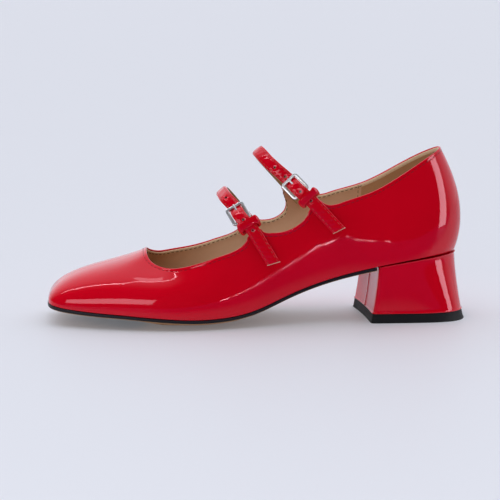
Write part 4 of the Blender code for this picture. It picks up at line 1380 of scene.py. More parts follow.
        # the lining's fold gets the lighter tan, a painted highlight along the topline
        leathers[:, :rim_start + len(self.rim_depth) + 1] = self.EDGE_SLOT
        leathers[:, :rim_start + self.rim_red_rows] = self.PATENT_SLOT
        leathers[:, -self.MARGIN_POINTS:] = self.PATENT_SLOT
        return loft("upper_shell", rings, (PATENT, LINING_EDGE_HIGHLIGHT, LINING, HEEL_GRIP), leathers,
                    closed=True, sharp=50.0)

    def row(self, inset: float, out: float, normal_row: int) -> Array:
        """Closed line round the shoe, on its outer face or on the lining.

        Args:
            inset: distance below the topline.
            out: distance outwards from the skin.
            normal_row: row of the skin that lends its normals.

        Returns:
            The line.
        """
        near = self.below_edge
        line = np.array([blend_columns(inset, near, ray[:len(near)]) for ray in self.skin])
        line = line + self.normals[:, normal_row] * out
        return np.vstack([line, line[:1]])

    def grip_seam(self, side: Side) -> Array:
        """Line down the lining where the heel grip is sewn to the smooth lining.

        Args:
            side: side of the foot.

        Returns:
            The line.
        """
        rays = [k for k, (s, _) in enumerate(self.rays) if s is side]
        ray = min(rays, key=lambda k: abs(self.skin[k, 0, 0] - self.grip_seam_x + self.grip_row))
        inner = self.skin[ray] - self.normals[ray] * (WALL + 0.05)
        return inner[4:-4]

    def make(self, stitches: StitchTree) -> None:
        """Builds the upper with its rows of stitches inside and out.

        Args:
            stitches: what sews.
        """
        show(self.build(), "patent_leather", "upper")
        outer = self.row(self.stitch_inset, -0.02, 4)
        show(stitches.sew("topline_stitches", [outer], RED_THREAD), "patent_leather")
        inner = self.row(self.lining_stitch_inset, -(WALL + 0.06), 5)
        show(stitches.sew("lining_stitches", [inner], TAN_THREAD, 0.26), "lining_leather")
        seams = [self.grip_seam(side) for side in Side]
        show(stitches.sew("grip_stitches", seams, TAN_THREAD, 0.22), "lining_leather")


# ---- sole, insole and heel ----
def section_at(side: Side, x: float) -> float:
    """Section number where the feather line reaches a place along the shoe."""
    us = np.linspace(10, LAST_ROW, 400)
    return float(np.interp(x, [foot_point(side, u)[0] for u in us], us))


@dataclass(frozen=True)
class Plate:
    """Flexible plate under the last: the outsole outside, the sock insole inside."""

    name: str
    inset: float
    lift: float
    thickness: float
    chamfer: float
    ends: Pair  # section numbers of its back end on the two sides
    crown: float = 0.0
    toe_flat: float = 0.0  # share of the underside's roll that is pressed flat at the toe
    flat_from: float = -58.0  # where that begins, and over what length
    flat_over: float = 18.0
    rows: int = 110
    columns: int = 14

    EASE = 0.02  # fall of the top face at its chamfer
    RIM_POINTS = 4

    def ring(self, along: float) -> Array:
        """Closed section across the plate: over its top, round its edge and back underneath.

        Args:
            along: share of the plate's length, from the toe.

        Returns:
            The ring.
        """
        sides = [(side, along * end) for side, end in zip(Side, self.ends)]
        feet = [foot_point(side, u)[0] for side, u in sides]
        x_mid = (feet[0] + feet[1]) / 2
        spine = spine_point(x_mid)
        edges = [bottom_point(side, u, self.inset, 1.0, spine)[2] for side, u in sides]
        flat = self.toe_flat * float(np.clip((self.flat_from - x_mid) / self.flat_over, 0, 1))
        top, under = [], []
        for b in np.linspace(0, 1, self.columns + 1):
            half = int(b >= 0.5)
            (side, u), share = sides[half], abs(2 * b - 1)
            point = bottom_point(side, u, self.inset, share, spine) + UP * self.lift
            if share == 1.0:
                out = foot_normal(side, u)
                rim = [point - out * self.chamfer - UP * self.EASE, point - UP * self.chamfer,
                       point - UP * (self.thickness - self.chamfer),
                       point - out * self.chamfer - UP * self.thickness]
                top += rim if half else rim[::-1]
            else:
                top.append(point + UP * (self.crown * (1 - share ** 4)))
                roll = edges[half] + self.lift - point[2]
                under.append(point + UP * (roll * flat - self.thickness))
        return np.array(top + under[::-1])

    def build(self, materials: Sequence, under_slot: int) -> Piece:
        """Builds the plate.

        Args:
            materials: edge and top first.
            under_slot: number in materials of the underside.

        Returns:
            The plate.
        """
        shares = np.linspace(0, 1, self.rows + 1)
        shares = 0.01 + 0.99 * (shares * shares * 0.35 + shares * 0.65)
        rings = np.array([self.ring(share) for share in shares])
        slots = np.full(rings.shape[1], under_slot)
        slots[1:self.columns - 3 + 2 * self.RIM_POINTS] = 0
        return loft(self.name, rings, materials, slots, sharp=35.0)


@dataclass(frozen=True)
class Heel:
    """Block heel covered in patent leather, with a rubber top lift."""

    breast_top: Pair = (70.4, 65.0)
    breast_base: Pair = (66.4, 61.0)
    hollow: float = 0.9
    spring_x: float = 84.0
    back: Pair = (119.0, 124.2)
    top_half: Pair = (-26.6, 24.5)
    base_half: Pair = (-26.2, 26.0)
    flare_power: float = 1.45
    rounds: Pair = (2.0, 3.6)
    lift: float = 5.6
    corner: float = 2.2
    lift_corner: float = 0.35
    seam_y: float = -1.0  # seam of the cover, up the middle of the breast
    seam_depth: float = 1.1
    seam_width: float = 0.5
    lip_height: float = 0.2  # swellings along both sides of the seam: share of its depth,
    lip_gap: float = 1.1  # distance from it, and width
    lip_width: float = 0.4
    breast_reach: float = 8.0  # how far back the breast's own points lie
    corner_reach: float = 3.2  # how far a corner's rounding runs out, in corner sizes
    seam_crowd: Pair = (4.0, 0.9)  # how strongly and how near points crowd at the seam
    least_crowd: float = 0.22

    SIDE_POINTS, BACK_POINTS, BREAST_POINTS = 8, 49, 15
    DENSE, EVEN = 1600, 220  # steps round a plan while it is rounded, and when it is done

    def outline(self, depth: float, grow: float) -> Array:
        """Closed plan of the heel at a depth below its top, from the lateral breast corner.

        Args:
            depth: 0 under the upper, 1 at the floor.
            grow: how far the plan is moved outwards, in millimetres.

        Returns:
            Points x, y in order: lateral side, round the back, medial side, across the breast.
        """
        flare = depth ** self.flare_power
        lateral, medial, back, power, lateral_front, medial_front = [
            top + (base - top) * flare for top, base in
            (*zip(self.top_half, self.base_half), self.back, self.rounds,
             *zip(self.breast_top, self.breast_base))]
        centre, half = (lateral + medial) / 2, (medial - lateral) / 2
        ahead = np.linspace(0, 1, self.SIDE_POINTS)[:-1]
        points = [(lateral_front + (self.spring_x - lateral_front) * a, lateral) for a in ahead]
        for angle in np.linspace(-math.pi / 2, math.pi / 2, self.BACK_POINTS):
            cos, sin = max(math.cos(angle), 0.0), math.sin(angle)
            points.append((self.spring_x + (back - self.spring_x) * cos ** (2 / power),
                           centre + half * math.copysign(abs(sin) ** (2 / power), sin)))
        for a in np.linspace(1, 0, self.SIDE_POINTS)[1:]:
            points.append((medial_front + (self.spring_x - medial_front) * a, medial))
        for b in np.linspace(1, 0, self.BREAST_POINTS)[1:-1]:
            front = lateral_front + (medial_front - lateral_front) * b
            points.append((front + self.hollow * math.sin(math.pi * b), lateral + (medial - lateral) * b))
        ring = self.round_corners(np.array(points))
        along = directions(ring, closed=True)
        return ring + np.column_stack([along[:, 1], -along[:, 0]]) * -grow

    def round_corners(self, ring: Array) -> Array:
        """Resamples a closed plan after rounding its sharp corners.

        Args:
            ring: the plan.

        Returns:
            The rounded plan, with more points at its corners and at the cover's seam.
        """
        closed = np.vstack([ring, ring[:1]])
        run = lengths(closed)
        dense = at_lengths(closed, np.linspace(0, run[-1], self.DENSE + 1))[:-1]
        step = run[-1] / self.DENSE
        reach = int(self.corner / step)
        kernel = np.exp(-0.5 * (np.arange(-2 * reach, 2 * reach + 1) / (0.75 * reach)) ** 2)
        kernel /= kernel.sum()
        padded = np.vstack([dense[-2 * reach:], dense, dense[:2 * reach]])
        smooth = np.column_stack([np.convolve(padded[:, k], kernel, "valid") for k in (0, 1)])
        near = np.zeros(self.DENSE)
        for corner in (0, len(ring) - self.BREAST_POINTS + 1, -1):
            gap = np.abs(np.arange(self.DENSE) - int(round(run[corner] / step)))
            gap = np.minimum(gap, self.DENSE - gap) * step
            near = np.maximum(near, hump(gap, self.corner_reach * self.corner))
        mixed = dense * (1 - near[:, None]) + smooth * near[:, None]
        breast = mixed[:, 0] < mixed[:, 0].min() + self.breast_reach
        crowd, width = self.seam_crowd
        weight = self.least_crowd + near + crowd * hump(mixed[:, 1] - self.seam_y, width) * breast
        place = np.concatenate(([0.0], np.cumsum(weight)))
        wanted = np.linspace(0, place[-1], self.EVEN + 1)[:-1]
        return blend_columns(wanted, place, np.vstack([mixed, mixed[:1]]))

    def seat(self, x: float) -> float:
        """Height of the heel's top face, which follows the upper's underside."""
        return tread_height(x) + SOLE_THICK

    def rings(self, low: float, high: float | None, levels: Sequence[float],
              grows: Sequence[float]) -> Array:
        """Sections of a slice of the heel from its bottom to its top.

        Args:
            low: height of its bottom.
            high: height of its top, or None where that is the seat under the upper.
            levels: shares of the height at which there is a section.
            grows: how far each section is moved outwards.

        Returns:
            The rings.
        """
        nominal = self.seat(self.spring_x)
        stack = []
        for level, grow in zip(levels, grows):
            guess = low + ((nominal if high is None else high) - low) * level
            plan = self.outline(max(0.0, 1 - guess / nominal), grow)
            tops = np.array([self.seat(x) if high is None else high for x in plan[:, 0]])
            stack.append(np.column_stack([plan, low + (tops - low) * level]))
        return np.array(stack)

    def build_cover(self) -> Piece:
        """Builds the covered block; its leather is turned in at both ends.

        Returns:
            The block.
        """
        levels = np.concatenate(([0.0, 0.01, 0.03], np.linspace(0.08, 0.94, 20), [0.98, 0.995, 1.0]))
        grows = np.concatenate(([-0.5, -0.15, 0.0], np.zeros(20), [-0.02, -0.15, -0.45]))
        rings = self.rings(self.lift + GAP * 0.5, None, levels, grows)
        breast = rings[..., 0] < rings[..., 0].min(axis=1, keepdims=True) + self.breast_reach
        across = rings[..., 1] - self.seam_y
        lips = hump(np.abs(across) - self.lip_gap, self.lip_width)
        seam = hump(across, self.seam_width) - self.lip_height * lips
        rings[..., 0] += breast * seam * self.seam_depth
        return loft("heel_cover", rings, (PATENT,), sharp=50.0)

    def build_lift(self) -> Piece:
        """Builds the top lift, its edges eased.

        Returns:
            The lift.
        """
        ease, height = self.lift_corner, self.lift
        levels = np.array([0.0, ease * 0.3, ease, height * 0.5, height - ease, height - ease * 0.3, height])
        grows = np.array([-ease, -ease * 0.3, 0.0, 0.0, 0.0, -ease * 0.3, -ease]) - 0.05
        return loft("heel_top_lift", self.rings(0.0, height, levels / height, grows), (LIFT_RUBBER,),
                    sharp=50.0)


@dataclass(frozen=True)
class Bottom:
    """Everything under the foot: outsole, sock insole, covered heel and top lift."""

    heel: Heel = Heel()
    sole_before_breast: float = 1.2
    sock_inset: float = 3.1
    sock_thick: float = 2.0

    def make(self) -> None:
        """Builds the four pieces."""
        ends = tuple(section_at(side, x - self.sole_before_breast)
                     for side, x in zip(Side, self.heel.breast_top))
        sole = Plate("sole_plate", -0.3, -SOLE_GAP, SOLE_THICK, 0.35, ends, toe_flat=0.7)
        show(sole.build((SOLE_EDGE, SOLE_FACE), 1), "sole", "outsole")
        lift = MARGIN_THICK + GAP + self.sock_thick
        sock = Plate("sock_insole", self.sock_inset, lift, self.sock_thick, 0.45,
                     (LAST_ROW, LAST_ROW), 0.25)
        show(sock.build((SOCK_AND_PAINTED_SHADE, SOCK_AND_PAINTED_SHADE), 0), "lining_leather", "insole")
        show(self.heel.build_cover(), "patent_leather", "heel")
        show(self.heel.build_lift(), "lift", "top_lift")


# ---- straps, buckles, keepers and chapes ----
def rounded_loop(half_length: float, half_width: float, corner: float, steps: int,
                 fill: int = 0) -> list[Pair]:
    """Rounded rectangle about its centre.

    Args:
        half_length: half of its first size.
        half_width: half of its second size.
        corner: radius of its corners.
        steps: steps round each corner.
        fill: how many more points lie along each straight side.

    Returns:
        Its points.
    """
    arcs = []
    for k, (sx, sy) in enumerate(((1, 1), (-1, 1), (-1, -1), (1, -1))):
        angles = [math.pi / 2 * (k + step / steps) for step in range(steps + 1)]
        arcs.append([(sx * (half_length - corner) + corner * math.cos(angle),
                      sy * (half_width - corner) + corner * math.sin(angle)) for angle in angles])
    loop = []
    for arc, following in zip(arcs, arcs[1:] + arcs[:1]):
        (x, y), (end_x, end_y) = arc[-1], following[0]
        shares = [j / (fill + 1) for j in range(1, fill + 1)]
        loop += arc + [(x + (end_x - x) * share, y + (end_y - y) * share) for share in shares]
    return loop


def tube(points: Sequence[Array], radii: Sequence[float], sides: int) -> Array:
    """Round bar along an open line.

    Args:
        points: the line.
        radii: the bar's radius at each of them.
        sides: points round the bar.

    Returns:
        Its rings.
    """
    points = np.array(points)
    side = np.cross(points[1] - points[0], (0.21, 0.47, 0.86))  # any way that is not along the bar
    rings = []
    turns = np.linspace(0, 2 * math.pi, sides + 1)[:-1]
    for point, along, radius in zip(points, directions(points), radii):
        side = unit(side - along * (side @ along))
        other = np.cross(along, side)
        rings.append([point + radius * (side * math.cos(t) + other * math.sin(t)) for t in turns])
    return np.array(rings)


@dataclass(frozen=True)
class BuckledStrap:
    """One padded strap with its frame buckle, prong, keeper and chape; sizes in millimetres."""

    route: StrapRoute
    crown: float = 0.42
    edge_round: float = 0.55
    ring_count: int = 260
    stitch_inset: float = 1.15
    stitch_groove: float = 0.14
    stitch_margin: float = 1.6
    hole_dimple: float = 0.22
    hole_lip: float = 1.02
    # radius of each hole below its lip, where its wall is painted near-black as shade
    hole_core: float = 0.72
    raw_ledge: float = 0.6  # lining that shows at the tail's cut end
    frame_corner: float = 1.1
    bar_high: float = 0.85
    bar_wide: float = 0.95
    prong_turn: tuple[int, int] = (-50, -270)
    prong_shares: tuple[float, ...] = (0.15, 0.35, 0.6, 0.8, 0.92, 0.97, 1.0)
    prong_taper: tuple[float, ...] = (0.97, 0.86, 0.66, 0.4)
    chape_turn: tuple[int, int] = (-135, 85)
    chape_width: float = 7.0
    chape_marks: tuple[float, ...] = (2.6, 4.4, 6.4, 8.6, 10.8, 13.0)
    chape_slot: float = 2.2
    keeper_after_hinge: float = 5.9
    keeper_shift: float = 0.5
    keeper_band: float = 4.7
    keeper_thick: float = 1.2
    keeper_ease: float = 0.8
    keeper_inside: float = 5.0
    keeper_half: float = 5.9
    keeper_corner: float = 2.2
    knuckle_from: float = 0.66  # share of its half width where the band swells to turn down
    knuckle_over: float = 0.2
    neck_at: float = 0.62  # and where it is drawn in before that
    neck_width: float = 0.1
    # thickness and width of the band, and what the knuckle adds and the neck takes
    keeper_fat: Triple = (0.85, 0.5, 0.25)
    keeper_wide: Triple = (0.96, 0.16, 0.08)

    PATENT_SLOT, BACK_SLOT, RAW_SLOT = range(3)
    HOLE_SIDES = 20
    UNDER_POINTS = 7
    WRAP = BAR_RADIUS + GAP + PRONG_RADIUS  # from the hinge bar's middle to the prong's
    # section of the keeper's band, out and along in shares of its thickness and width: puffed outside
    PUFFED_BAND = ((-0.5, -0.44), (-0.5, 0.44), (-0.44, 0.5), (0.1, 0.5), (0.34, 0.46), (0.5, 0.34),
                   (0.64, 0.16), (0.68, 0.0), (0.64, -0.16), (0.5, -0.34), (0.34, -0.46), (0.1, -0.5),
                   (-0.44, -0.5))

    def section(self) -> Array:
        """Cross-section of the strap.

        Returns:
            Across and out: up the front edge, over the top, down the back edge and underneath.
        """
        half, thick, r = STRAP_WIDTH / 2, STRAP_THICK, self.edge_round
        edge = [(-half, -thick + 0.28), (-half - 0.02, -thick * 0.55)]
        edge += [(-half + r * (1 - math.cos(angle)) * 0.8, -r + r * math.sin(angle) - 0.15)
                 for angle in np.linspace(0, math.pi / 2, 5)]
        top = [(y, self.crown_at(y)) for y in np.linspace(-half + r, half - r, 19)[1:-1]]
        under = [(y, -thick) for y in np.linspace(half - 0.3, -half + 0.3, self.UNDER_POINTS)]
        return np.array(edge + top + [(-y, z) for y, z in edge[::-1]] + under)

    def crown_at(self, across: float, mark: float | None = None) -> float:
        """Height of the padded top, drawn in by the edge stitching at every needle hole.

        Args:
            across: distance from the strap's middle.
            mark: distance along the strap, or None for the mean height.

        Returns:
            Height over the strap's nominal face.
        """
        half = STRAP_WIDTH / 2
        share = min(1.0, abs(across) / half)
        lift = self.crown * (1 - share ** 2.6) - 0.15 * share ** 6
        pull = self.stitch_groove
        roll = 0.0
        if mark is not None:
            pull *= 1 + 0.9 * math.cos(2 * math.pi * mark / STITCH_PITCH)
            roll = 0.06 * math.sin(mark * 0.83 + across * 0.5) + 0.05 * math.sin(mark * 1.9 - across * 0.9)
            roll *= 1 - share ** 2
        return float(lift + roll - pull * hump(half - abs(across) - self.stitch_inset, 0.5))

    def dimple(self, mark: float, across: float) -> float:
        """How far the punched holes draw the top down around themselves.

        Args:
            mark: distance along the strap.
            across: distance from its middle.

        Returns:
            The depth.
        """
        marks = self.route.hole_marks() + [self.route.pin_mark]
        gap = min(math.hypot(mark - m, across) for m in marks)
        return self.hole_dimple * float(hump(gap - HOLE_RADIUS, 0.75))

    def marks(self) -> Array:
        """Places of the rings along the strap.

        Returns:
            Marks, close together at both ends and at the holes.
        """
        length = self.route.length
        even = np.linspace(0, length, 4000)
        weight = np.full(even.shape, 1.0)
        for mark in self.route.hole_marks():
            weight += 1.8 * hump(even - mark, 1.6)
        weight += 3.0 * hump(length - even, 1.2) + 3.0 * hump(even, 1.0)
        place = np.cumsum(weight)
        marks = np.interp(np.linspace(place[0], place[-1], self.ring_count), place, even)
        return marks * (length - self.raw_ledge) / length

    def ring(self, mark: float, section: Array) -> Array:
        """Section of the strap at a mark, rounded off near both ends.

        Args:
            mark: distance along the strap.
            section: its cross-section.

        Returns:
            The ring.
        """
        route = self.route
        along, across_axis, out_axis = route.axes(mark)
        middle = route.middle(min(mark, route.length - 0.01))
        ease = 1 - 0.32 * float(np.clip(1 - min(mark, route.length - mark) / 1.1, 0, 1)) ** 2
        points = []
        for y, height in section:
            if height > -0.4:
                if abs(y) < 3.2:
                    height = self.crown_at(y, mark) - self.dimple(mark, y)
                height = -STRAP_THICK / 2 + (height + STRAP_THICK / 2) * ease
            if mark > route.length - self.raw_ledge:
                height = min(height, -STRAP_THICK * 0.35)
            slant = along * route.slant(y, mark / route.length)
            points.append(middle + across_axis * y + out_axis * height + slant)
        return np.array(points)

    def build(self) -> Piece:
        """Builds the padded strap and punches its holes.

        Returns:
            The strap.
        """
        length, section = self.route.length, self.section()
        marks = np.append(self.marks(), (length - self.raw_ledge + 0.02, length))
        rings = np.array([self.ring(mark, section) for mark in marks])
        slots = np.full(rings.shape[:2], self.PATENT_SLOT)
        slots[:, -self.UNDER_POINTS - 1:] = self.BACK_SLOT
        slots[-3:] = self.RAW_SLOT
        obj = loft("strap_%s_padded" % self.route.plan.name, rings, (STRAP_PATENT, STRAP_BACK, RAW_EDGE),
                   slots, sharp=55.0, cap_slot=self.RAW_SLOT)
        self.punch(obj)
        return obj

    def punch(self, obj: Piece) -> None:
        """Punches the strap's holes through it, the prong's among them.

        Args:
            obj: the strap.
        """
        route, top = self.route, self.crown_at(0)
        outs = (1.0, top - 0.08, top - 0.36, -STRAP_THICK - 1.0)
        radii = (self.hole_lip, self.hole_lip, self.hole_core, self.hole_core)
        for k, mark in enumerate(route.hole_marks()):
            # below its lip each hole's wall takes the near-black painted shade
            rings = tube([route.place(mark, 0.0, out) for out in outs], radii, self.HOLE_SIDES)
            cut(obj, loft("hole_%d" % k, rings, (HOLE_LIP, HOLE_PAINTED_SHADE), [[0], [0], [1], [1]]))
        ends = [route.in_frame(reach, 0.0, self.WRAP) for reach in (-1.0, FRAME_SPAN + 4.0)]
        radius = PRONG_RADIUS + GAP + 0.05
        cut(obj, loft("pin_hole", tube(ends, (radius, radius), self.HOLE_SIDES), (RAW_EDGE,)))
        obj.data.set_sharp_from_angle(angle=math.radians(55))

    def build_frame(self) -> Piece:
        """Builds the buckle's frame: a rounded rectangle of flattened bar.

        Returns:
            The frame.
        """
        route, half = self.route, FRAME_SPAN / 2
        loop = rounded_loop(half, FRAME_HALF, self.frame_corner, 6, fill=3)
        line = np.array([route.in_frame(half + u, v, 0.0) for u, v in loop])
        sides = np.cross(directions(line, closed=True), route.out)
        profile = rounded_loop(self.bar_wide, self.bar_high, 0.42, 4)
        rings = sweep(line, sides, [route.out] * len(line), profile)
        return loft("buckle_%s_frame" % route.plan.name, rings, (NICKEL,), closed=True, sharp=60.0)

    def round_the_bar(self, turn: tuple[int, int], radius: float, step: int) -> list[Array]:
        """Bends something round the hinge bar.

        Args:
            turn: angles at which it starts and ends, in degrees.
            radius: distance from the bar's middle.
            step: degrees from point to point.

        Returns:
            The points.
        """
        start, end = turn
        count = abs(end - start) // step + 1
        angles = [math.radians(start + math.copysign(step, end - start) * k) for k in range(count)]
        return [self.route.in_frame(radius * math.cos(t), 0.0, radius * math.sin(t)) for t in angles]

    def build_prong(self) -> Piece:
        """Builds the prong: bent round the hinge bar, tapered towards the far bar.

        Returns:
            The prong.
        """
        points = self.round_the_bar(self.prong_turn, self.WRAP, 10)
        points += [self.route.in_frame((FRAME_SPAN + BAR_RADIUS) * share, 0.0, self.WRAP)
                   for share in self.prong_shares]
        radii = [PRONG_RADIUS] * (len(points) - len(self.prong_taper))
        radii += [PRONG_RADIUS * k for k in self.prong_taper]
        return loft("prong_%s_wire" % self.route.plan.name, tube(points, radii, 14), (NICKEL,), sharp=60.0)

    def build_chape(self) -> Piece:
        """Builds the chape: folded round the hinge bar, slotted for the prong, running on over the ear.

        Returns:
            The chape.
        """
        route, slot = self.route, self.chape_slot
        line = self.round_the_bar(self.chape_turn, BAR_RADIUS + GAP + CHAPE_THICK / 2, 11)
        depth = -(STRAP_THICK + CHAPE_EASE + CHAPE_THICK / 2)
        line += [route.place(route.hinge_mark + after, 0.0, depth) for after in self.chape_marks]
        line = np.array(line)
        line = at_lengths(line, np.linspace(0, lengths(line)[-1], 44))
        profile = rounded_loop(self.chape_width / 2, CHAPE_THICK / 2, 0.3, 4, fill=2)
        rings = sweep(line, [route.across] * len(line), np.cross(route.across, directions(line)), profile)
        obj = loft("chape_%s_fold" % route.plan.name, rings, (PATENT,), sharp=50.0)
        low = route.in_frame(-3.2, -slot / 2, -3.2)
        box = [[low + route.along * 8.0 * a + route.across * slot * s + route.out * 7.0 * c
                for a, s in ((0, 0), (1, 0), (1, 1), (0, 1))] for c in (0, 1)]
        cut(obj, loft("slot", box, (RAW_EDGE,)))
        return obj

    def build_keeper(self) -> Piece:
        """Builds the keeper: a puffed band of patent leather closed round strap and chape.

        Returns:
            The keeper.
        """
        route = self.route
        mark = route.hinge_mark + self.keeper_after_hinge
        along = route.axes(mark)[0]
        along = unit(along - route.across * (along @ route.across))
        top = self.keeper_ease + self.keeper_thick / 2
        floor = top - self.keeper_inside - self.keeper_thick
        centre = route.place(mark, self.keeper_shift, 0.0)
        loop = np.array(rounded_loop(self.keeper_half, (top - floor) / 2, self.keeper_corner, 6, fill=9))
        ways = directions(loop, closed=True)
        rings = []
        for point, normal in zip(loop, np.column_stack([ways[:, 1], -ways[:, 0]])):
            share = abs(point[0]) / self.keeper_half
            knuckle = float(np.clip((share - self.knuckle_from) / self.knuckle_over, 0, 1)) ** 2
            neck = float(hump(share - self.neck_at, self.neck_width))
            fat, wide = [size * (plain + swell * knuckle - drawn * neck) for size, (plain, swell, drawn)
                         in ((self.keeper_thick, self.keeper_fat), (self.keeper_band, self.keeper_wide))]
            ring = []
            for thick, width in self.PUFFED_BAND:
                across, out = point + normal * thick * fat
                ring.append(centre + along * width * wide + route.across * across
                            + route.out * (out + (top + floor) / 2))
            rings.append(ring)
        return loft("keeper_%s_loop" % route.plan.name, rings, (STRAP_PATENT,), closed=True, sharp=60.0)

    def stitch_lines(self) -> list[Array]:
        """Rows of stitches along the strap's two edges.

        Returns:
            The lines.
        """
        route, reach = self.route, STRAP_WIDTH / 2 - self.stitch_inset
        lines = []
        for across in (-reach, reach):
            row = []
            for mark in np.linspace(self.stitch_margin, route.length - self.stitch_margin, 200):
                height = self.crown_at(reach) - 0.32 * self.dimple(mark, across) + 0.02
                slant = route.slant(across, mark / route.length)
                row.append(route.place(mark, across, height) + route.axes(mark)[0] * slant)
            lines.append(np.array(row))
        return lines

    def make(self, stitches: StitchTree) -> None:
        """Builds the strap with all that is on it.

        Args:
            stitches: what sews.
        """
        name = self.route.plan.name
        show(self.build(), "patent_leather", "strap_" + name)
        show(self.build_frame(), "buckle_metal", "buckle_" + name)
        show(self.build_prong(), "buckle_metal", "prong_" + name)
        show(self.build_chape(), "patent_leather", "chape_" + name)
        show(self.build_keeper(), "patent_leather", "keeper_" + name)
        rows = stitches.sew("strap_%s_stitches" % name, self.stitch_lines(), STRAP_THREAD)
        show(rows, "patent_leather")


# ---- the studio ----
@dataclass(frozen=True)
class Softbox:
    """One light: its place, what it looks at and its size, in millimetres of the frame.

    glow is how bright its face is; fill says whether it lights or is only mirrored in what is glossy;
    roll turns it about its own axis, in degrees.
    """

    name: str
    place: Triple
    aim: Triple
    size: Pair
    glow: float
    fill: bool = False
    roll: float = 0.0

    def build(self) -> None:
        """Hangs the light."""
        data = bpy.data.lights.new(self.name, "AREA")
        data.shape = "RECTANGLE"
        data.size, data.size_y = self.size[0] * MM, self.size[1] * MM
        data.energy = self.glow * math.pi * data.size * data.size_y
        light = add_object(self.name, data)
        light.location = Vector(self.place) * MM
        way = (Vector(self.aim) - Vector(self.place)).to_track_quat("-Z", "Y")
        light.rotation_euler = (way @ Quaternion((0.0, 0.0, 1.0), math.radians(self.roll))).to_euler()
        light.visible_camera = False
        light.visible_glossy = not self.fill
        light.visible_diffuse = self.fill


SOFTBOXES = (
    Softbox("front_fill", (-400, -1500, 600), (0, 0, 40), (1200, 900), 1.3, True),
    Softbox("low_fill", (-500, -1100, 150), (-60, 0, 0), (1500, 280), 0.55, True),
    Softbox("side_strip", (448, -146, 160), (110, -14, 60), (112, 320), 6.0),
    Softbox("table_edge_toe", (100.5, -368, 1.3), (100.5, 0, 1.3), (12, 2.6), 34.0),
    Softbox("table_edge_waist", (121, -368, 1.3), (121, 0, 1.3), (18, 2.6), 30.0),
    Softbox("table_edge_heel", (165, -368, 1.5), (165, 0, 1.5), (5, 3.0), 24.0),
    Softbox("ceiling_edge", (-990, 60, 1200), (-990, 60, 0), (1130, 60), 12.0, roll=-25.2),
    Softbox("ceiling_bend", (-340, -78, 1200), (-340, -78, 0), (350, 45), 6.0, roll=30.0),
    Softbox("ceiling_end", (-215, 105, 1200), (-215, 105, 0), (210, 110), 2.6, roll=105.0),
    Softbox("low_strip", (-610, -735, 310), (-80, -34, 16), (780, 260), 4.0),
    Softbox("buckle_card", (20, -130, 320), (5, -25, 78), (150, 80), 1.3),
)


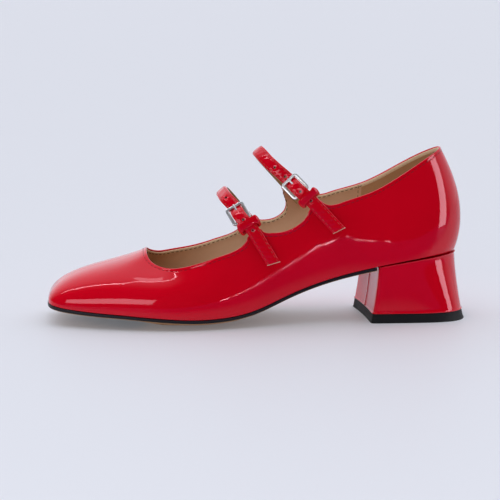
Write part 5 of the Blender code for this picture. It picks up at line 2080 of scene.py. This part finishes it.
@dataclass(frozen=True)
class Studio:
    """Pale floor, soft light and the camera.

    The film mirrors its surroundings. In front of the shoe the floor is painted dim and bluish for glossy
    rays only, a painted reflection in the film; the sky has a second, dimmer look in reflections.
    """

    floor_colour: str = "#D1D3D9"
    floor_glow: float = 0.18
    # the floor's colour to glossy rays in front of the shoe: a painted reflection, dim and bluish, in the
    # film
    floor_painted_reflection: str = "#4A4488"
    painted_reflection_from: Pair = (-0.035, -0.10)  # where that look begins and is whole
    floor_far: float = 30.0
    table_edge: float = -0.37
    sky_colour: str = "#F4F6FF"
    sky_strength: float = 1.0
    sky_rise: float = 0.75  # how much the sky's light follows height, and the side behind
    sky_turn: float = 0.45  # how much its mirrored look also follows the heel's end
    sky_range: tuple[float, float, float, float] = (-0.35, 0.55, 0.015, 1.0)
    mirrored_range: tuple[float, float, float, float] = (0.02, 0.87, 0.04, 1.05)
    sun_strength: float = 0.62
    sun_angle: float = 70.0
    sun_tilt: Pair = (8.0, -6.0)
    look_at: Triple = (-3.64, 2.25, 40.3)
    distance: float = 1086.4
    azimuth: float = -3.5
    elevation: float = 10.2
    lens: float = 130.32

    def floor_material(self) -> Material:
        """Painted board: pale and satin; in front of the shoe, glossy rays see it dim and bluish, a painted
        reflection in the film.

        Returns:
            The material.
        """
        finish = Finish("studio_floor", Roughness=0.55, Specular_IOR_Level=0.2,
                        Emission_Strength=self.floor_glow)
        tree = finish.tree
        path = add_node(tree, "ShaderNodeLightPath")
        parts = add_node(tree, "ShaderNodeSeparateXYZ", links={0: finish.place})
        front = add_node(tree, "ShaderNodeMapRange", self.soft_step(*self.painted_reflection_from, 0.0, 1.0),
                         {"Value": parts.outputs[1]})
        # glossy rays in front of the shoe get the painted reflection colour
        share = add_node(tree, "ShaderNodeMath", {"operation": "MULTIPLY"},
                         {0: front.outputs[0], 1: path.outputs["Is Glossy Ray"]})
        seen = add_node(tree, "ShaderNodeMix",
                        {"data_type": "RGBA", 6: linear(self.floor_colour), 7: linear(self.floor_painted_reflection)},
                        {0: share.outputs[0]})
        for socket in ("Base Color", "Emission Color"):
            finish.feed(socket, seen.outputs[2])
        return finish.material

    @staticmethod
    def soft_step(*limits: float) -> dict:
        """Settings of a soft step: the values where it begins and ends, and the results there."""
        names = ("From Min", "From Max", "To Min", "To Max")
        return {"interpolation_type": "SMOOTHSTEP", **dict(zip(names, limits))}

    def build_floor(self) -> None:
        """Lays a pale satin table, and a sheet before it that only the eye sees, not the leather."""
        material, far, edge = self.floor_material(), self.floor_far, self.table_edge
        for name, near, back in (("floor", edge, far), ("floor_apron", -far, edge)):
            mesh = bpy.data.meshes.new(name)
            mesh.from_pydata([(-far, near, 0), (far, near, 0), (far, back, 0), (-far, back, 0)],
                             [], [(0, 1, 2, 3)])
            mesh.materials.append(material)
            sheet = add_object(name, mesh)
            sheet.visible_glossy = sheet.visible_diffuse = sheet.visible_shadow = name == "floor"

    def build_sky(self) -> None:
        """Surrounds the set with a pale glow overhead and behind, darker on the camera's side."""
        world = bpy.data.worlds.new("studio")
        bpy.context.scene.world = world
        world.use_nodes = True
        tree = world.node_tree
        place = add_node(tree, "ShaderNodeTexCoord")
        parts = add_node(tree, "ShaderNodeSeparateXYZ", links={0: place.outputs["Generated"]})
        lean = add_node(tree, "ShaderNodeMath", {"operation": "MULTIPLY_ADD", 1: self.sky_rise},
                        {0: parts.outputs[2], 2: parts.outputs[1]})
        turned = add_node(tree, "ShaderNodeMath", {"operation": "MULTIPLY_ADD", 1: self.sky_turn},
                          {0: parts.outputs[0], 2: lean.outputs[0]})
        glow, mirrored = [add_node(tree, "ShaderNodeMapRange", self.soft_step(*limits),
                                   {"Value": source.outputs[0]}).outputs[0]
                          for limits, source in ((self.sky_range, lean), (self.mirrored_range, turned))]
        path = add_node(tree, "ShaderNodeLightPath")
        mixed = add_node(tree, "ShaderNodeMix", {"data_type": "FLOAT"},
                         {0: path.outputs["Is Glossy Ray"], 2: glow, 3: mirrored})
        seen = add_node(tree, "ShaderNodeMath", {"operation": "MAXIMUM"},
                        {0: mixed.outputs[0], 1: path.outputs["Is Camera Ray"]})
        tint = add_node(tree, "ShaderNodeMix", {"data_type": "RGBA", "clamp_factor": False,
                                                6: linear("#000000"), 7: linear(self.sky_colour)},
                        {0: seen.outputs[0]})
        background = tree.nodes["Background"]
        tree.links.new(tint.outputs[2], background.inputs["Color"])
        background.inputs["Strength"].default_value = self.sky_strength

    def build_sun(self) -> None:
        """Hangs one very wide light overhead, which evens out the floor."""
        data = bpy.data.lights.new("ceiling", "SUN")
        data.energy, data.angle = self.sun_strength, math.radians(self.sun_angle)
        light = add_object("ceiling", data)
        light.rotation_euler = (*map(math.radians, self.sun_tilt), 0)
        light.visible_glossy = False

    def build_camera(self) -> None:
        """Sets the camera a little above the shoe, on its outer side."""
        turn, rise = math.radians(self.azimuth), math.radians(self.elevation)
        back = Vector((math.sin(turn) * math.cos(rise), -math.cos(turn) * math.cos(rise), math.sin(rise)))
        data = bpy.data.cameras.new("camera")
        data.lens, data.sensor_width, data.clip_end = self.lens, 36.0, 100.0
        camera = add_object("camera", data)
        camera.location = Vector(self.look_at) * MM + back * self.distance * MM
        camera.rotation_euler = (-back).to_track_quat("-Z", "Y").to_euler()
        bpy.context.scene.camera = camera

    def make(self) -> None:
        """Builds the whole set."""
        bpy.context.scene.view_settings.view_transform = "Standard"
        self.build_floor()
        self.build_sky()
        self.build_sun()
        self.build_camera()
        for softbox in SOFTBOXES:
            softbox.build()


def main() -> None:
    """Builds the shoe, sub-assembly by sub-assembly, and the studio round it."""
    logging.basicConfig(level=logging.INFO, format="%(name)s: %(message)s")
    LOG.info("frame: %d nodes", len(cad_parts))
    stitches = StitchTree()
    Upper().make(stitches)
    Bottom().make()
    for route in ROUTES:
        BuckledStrap(route).make(stitches)
    Studio().make()


if __name__ == "__main__":
    main()
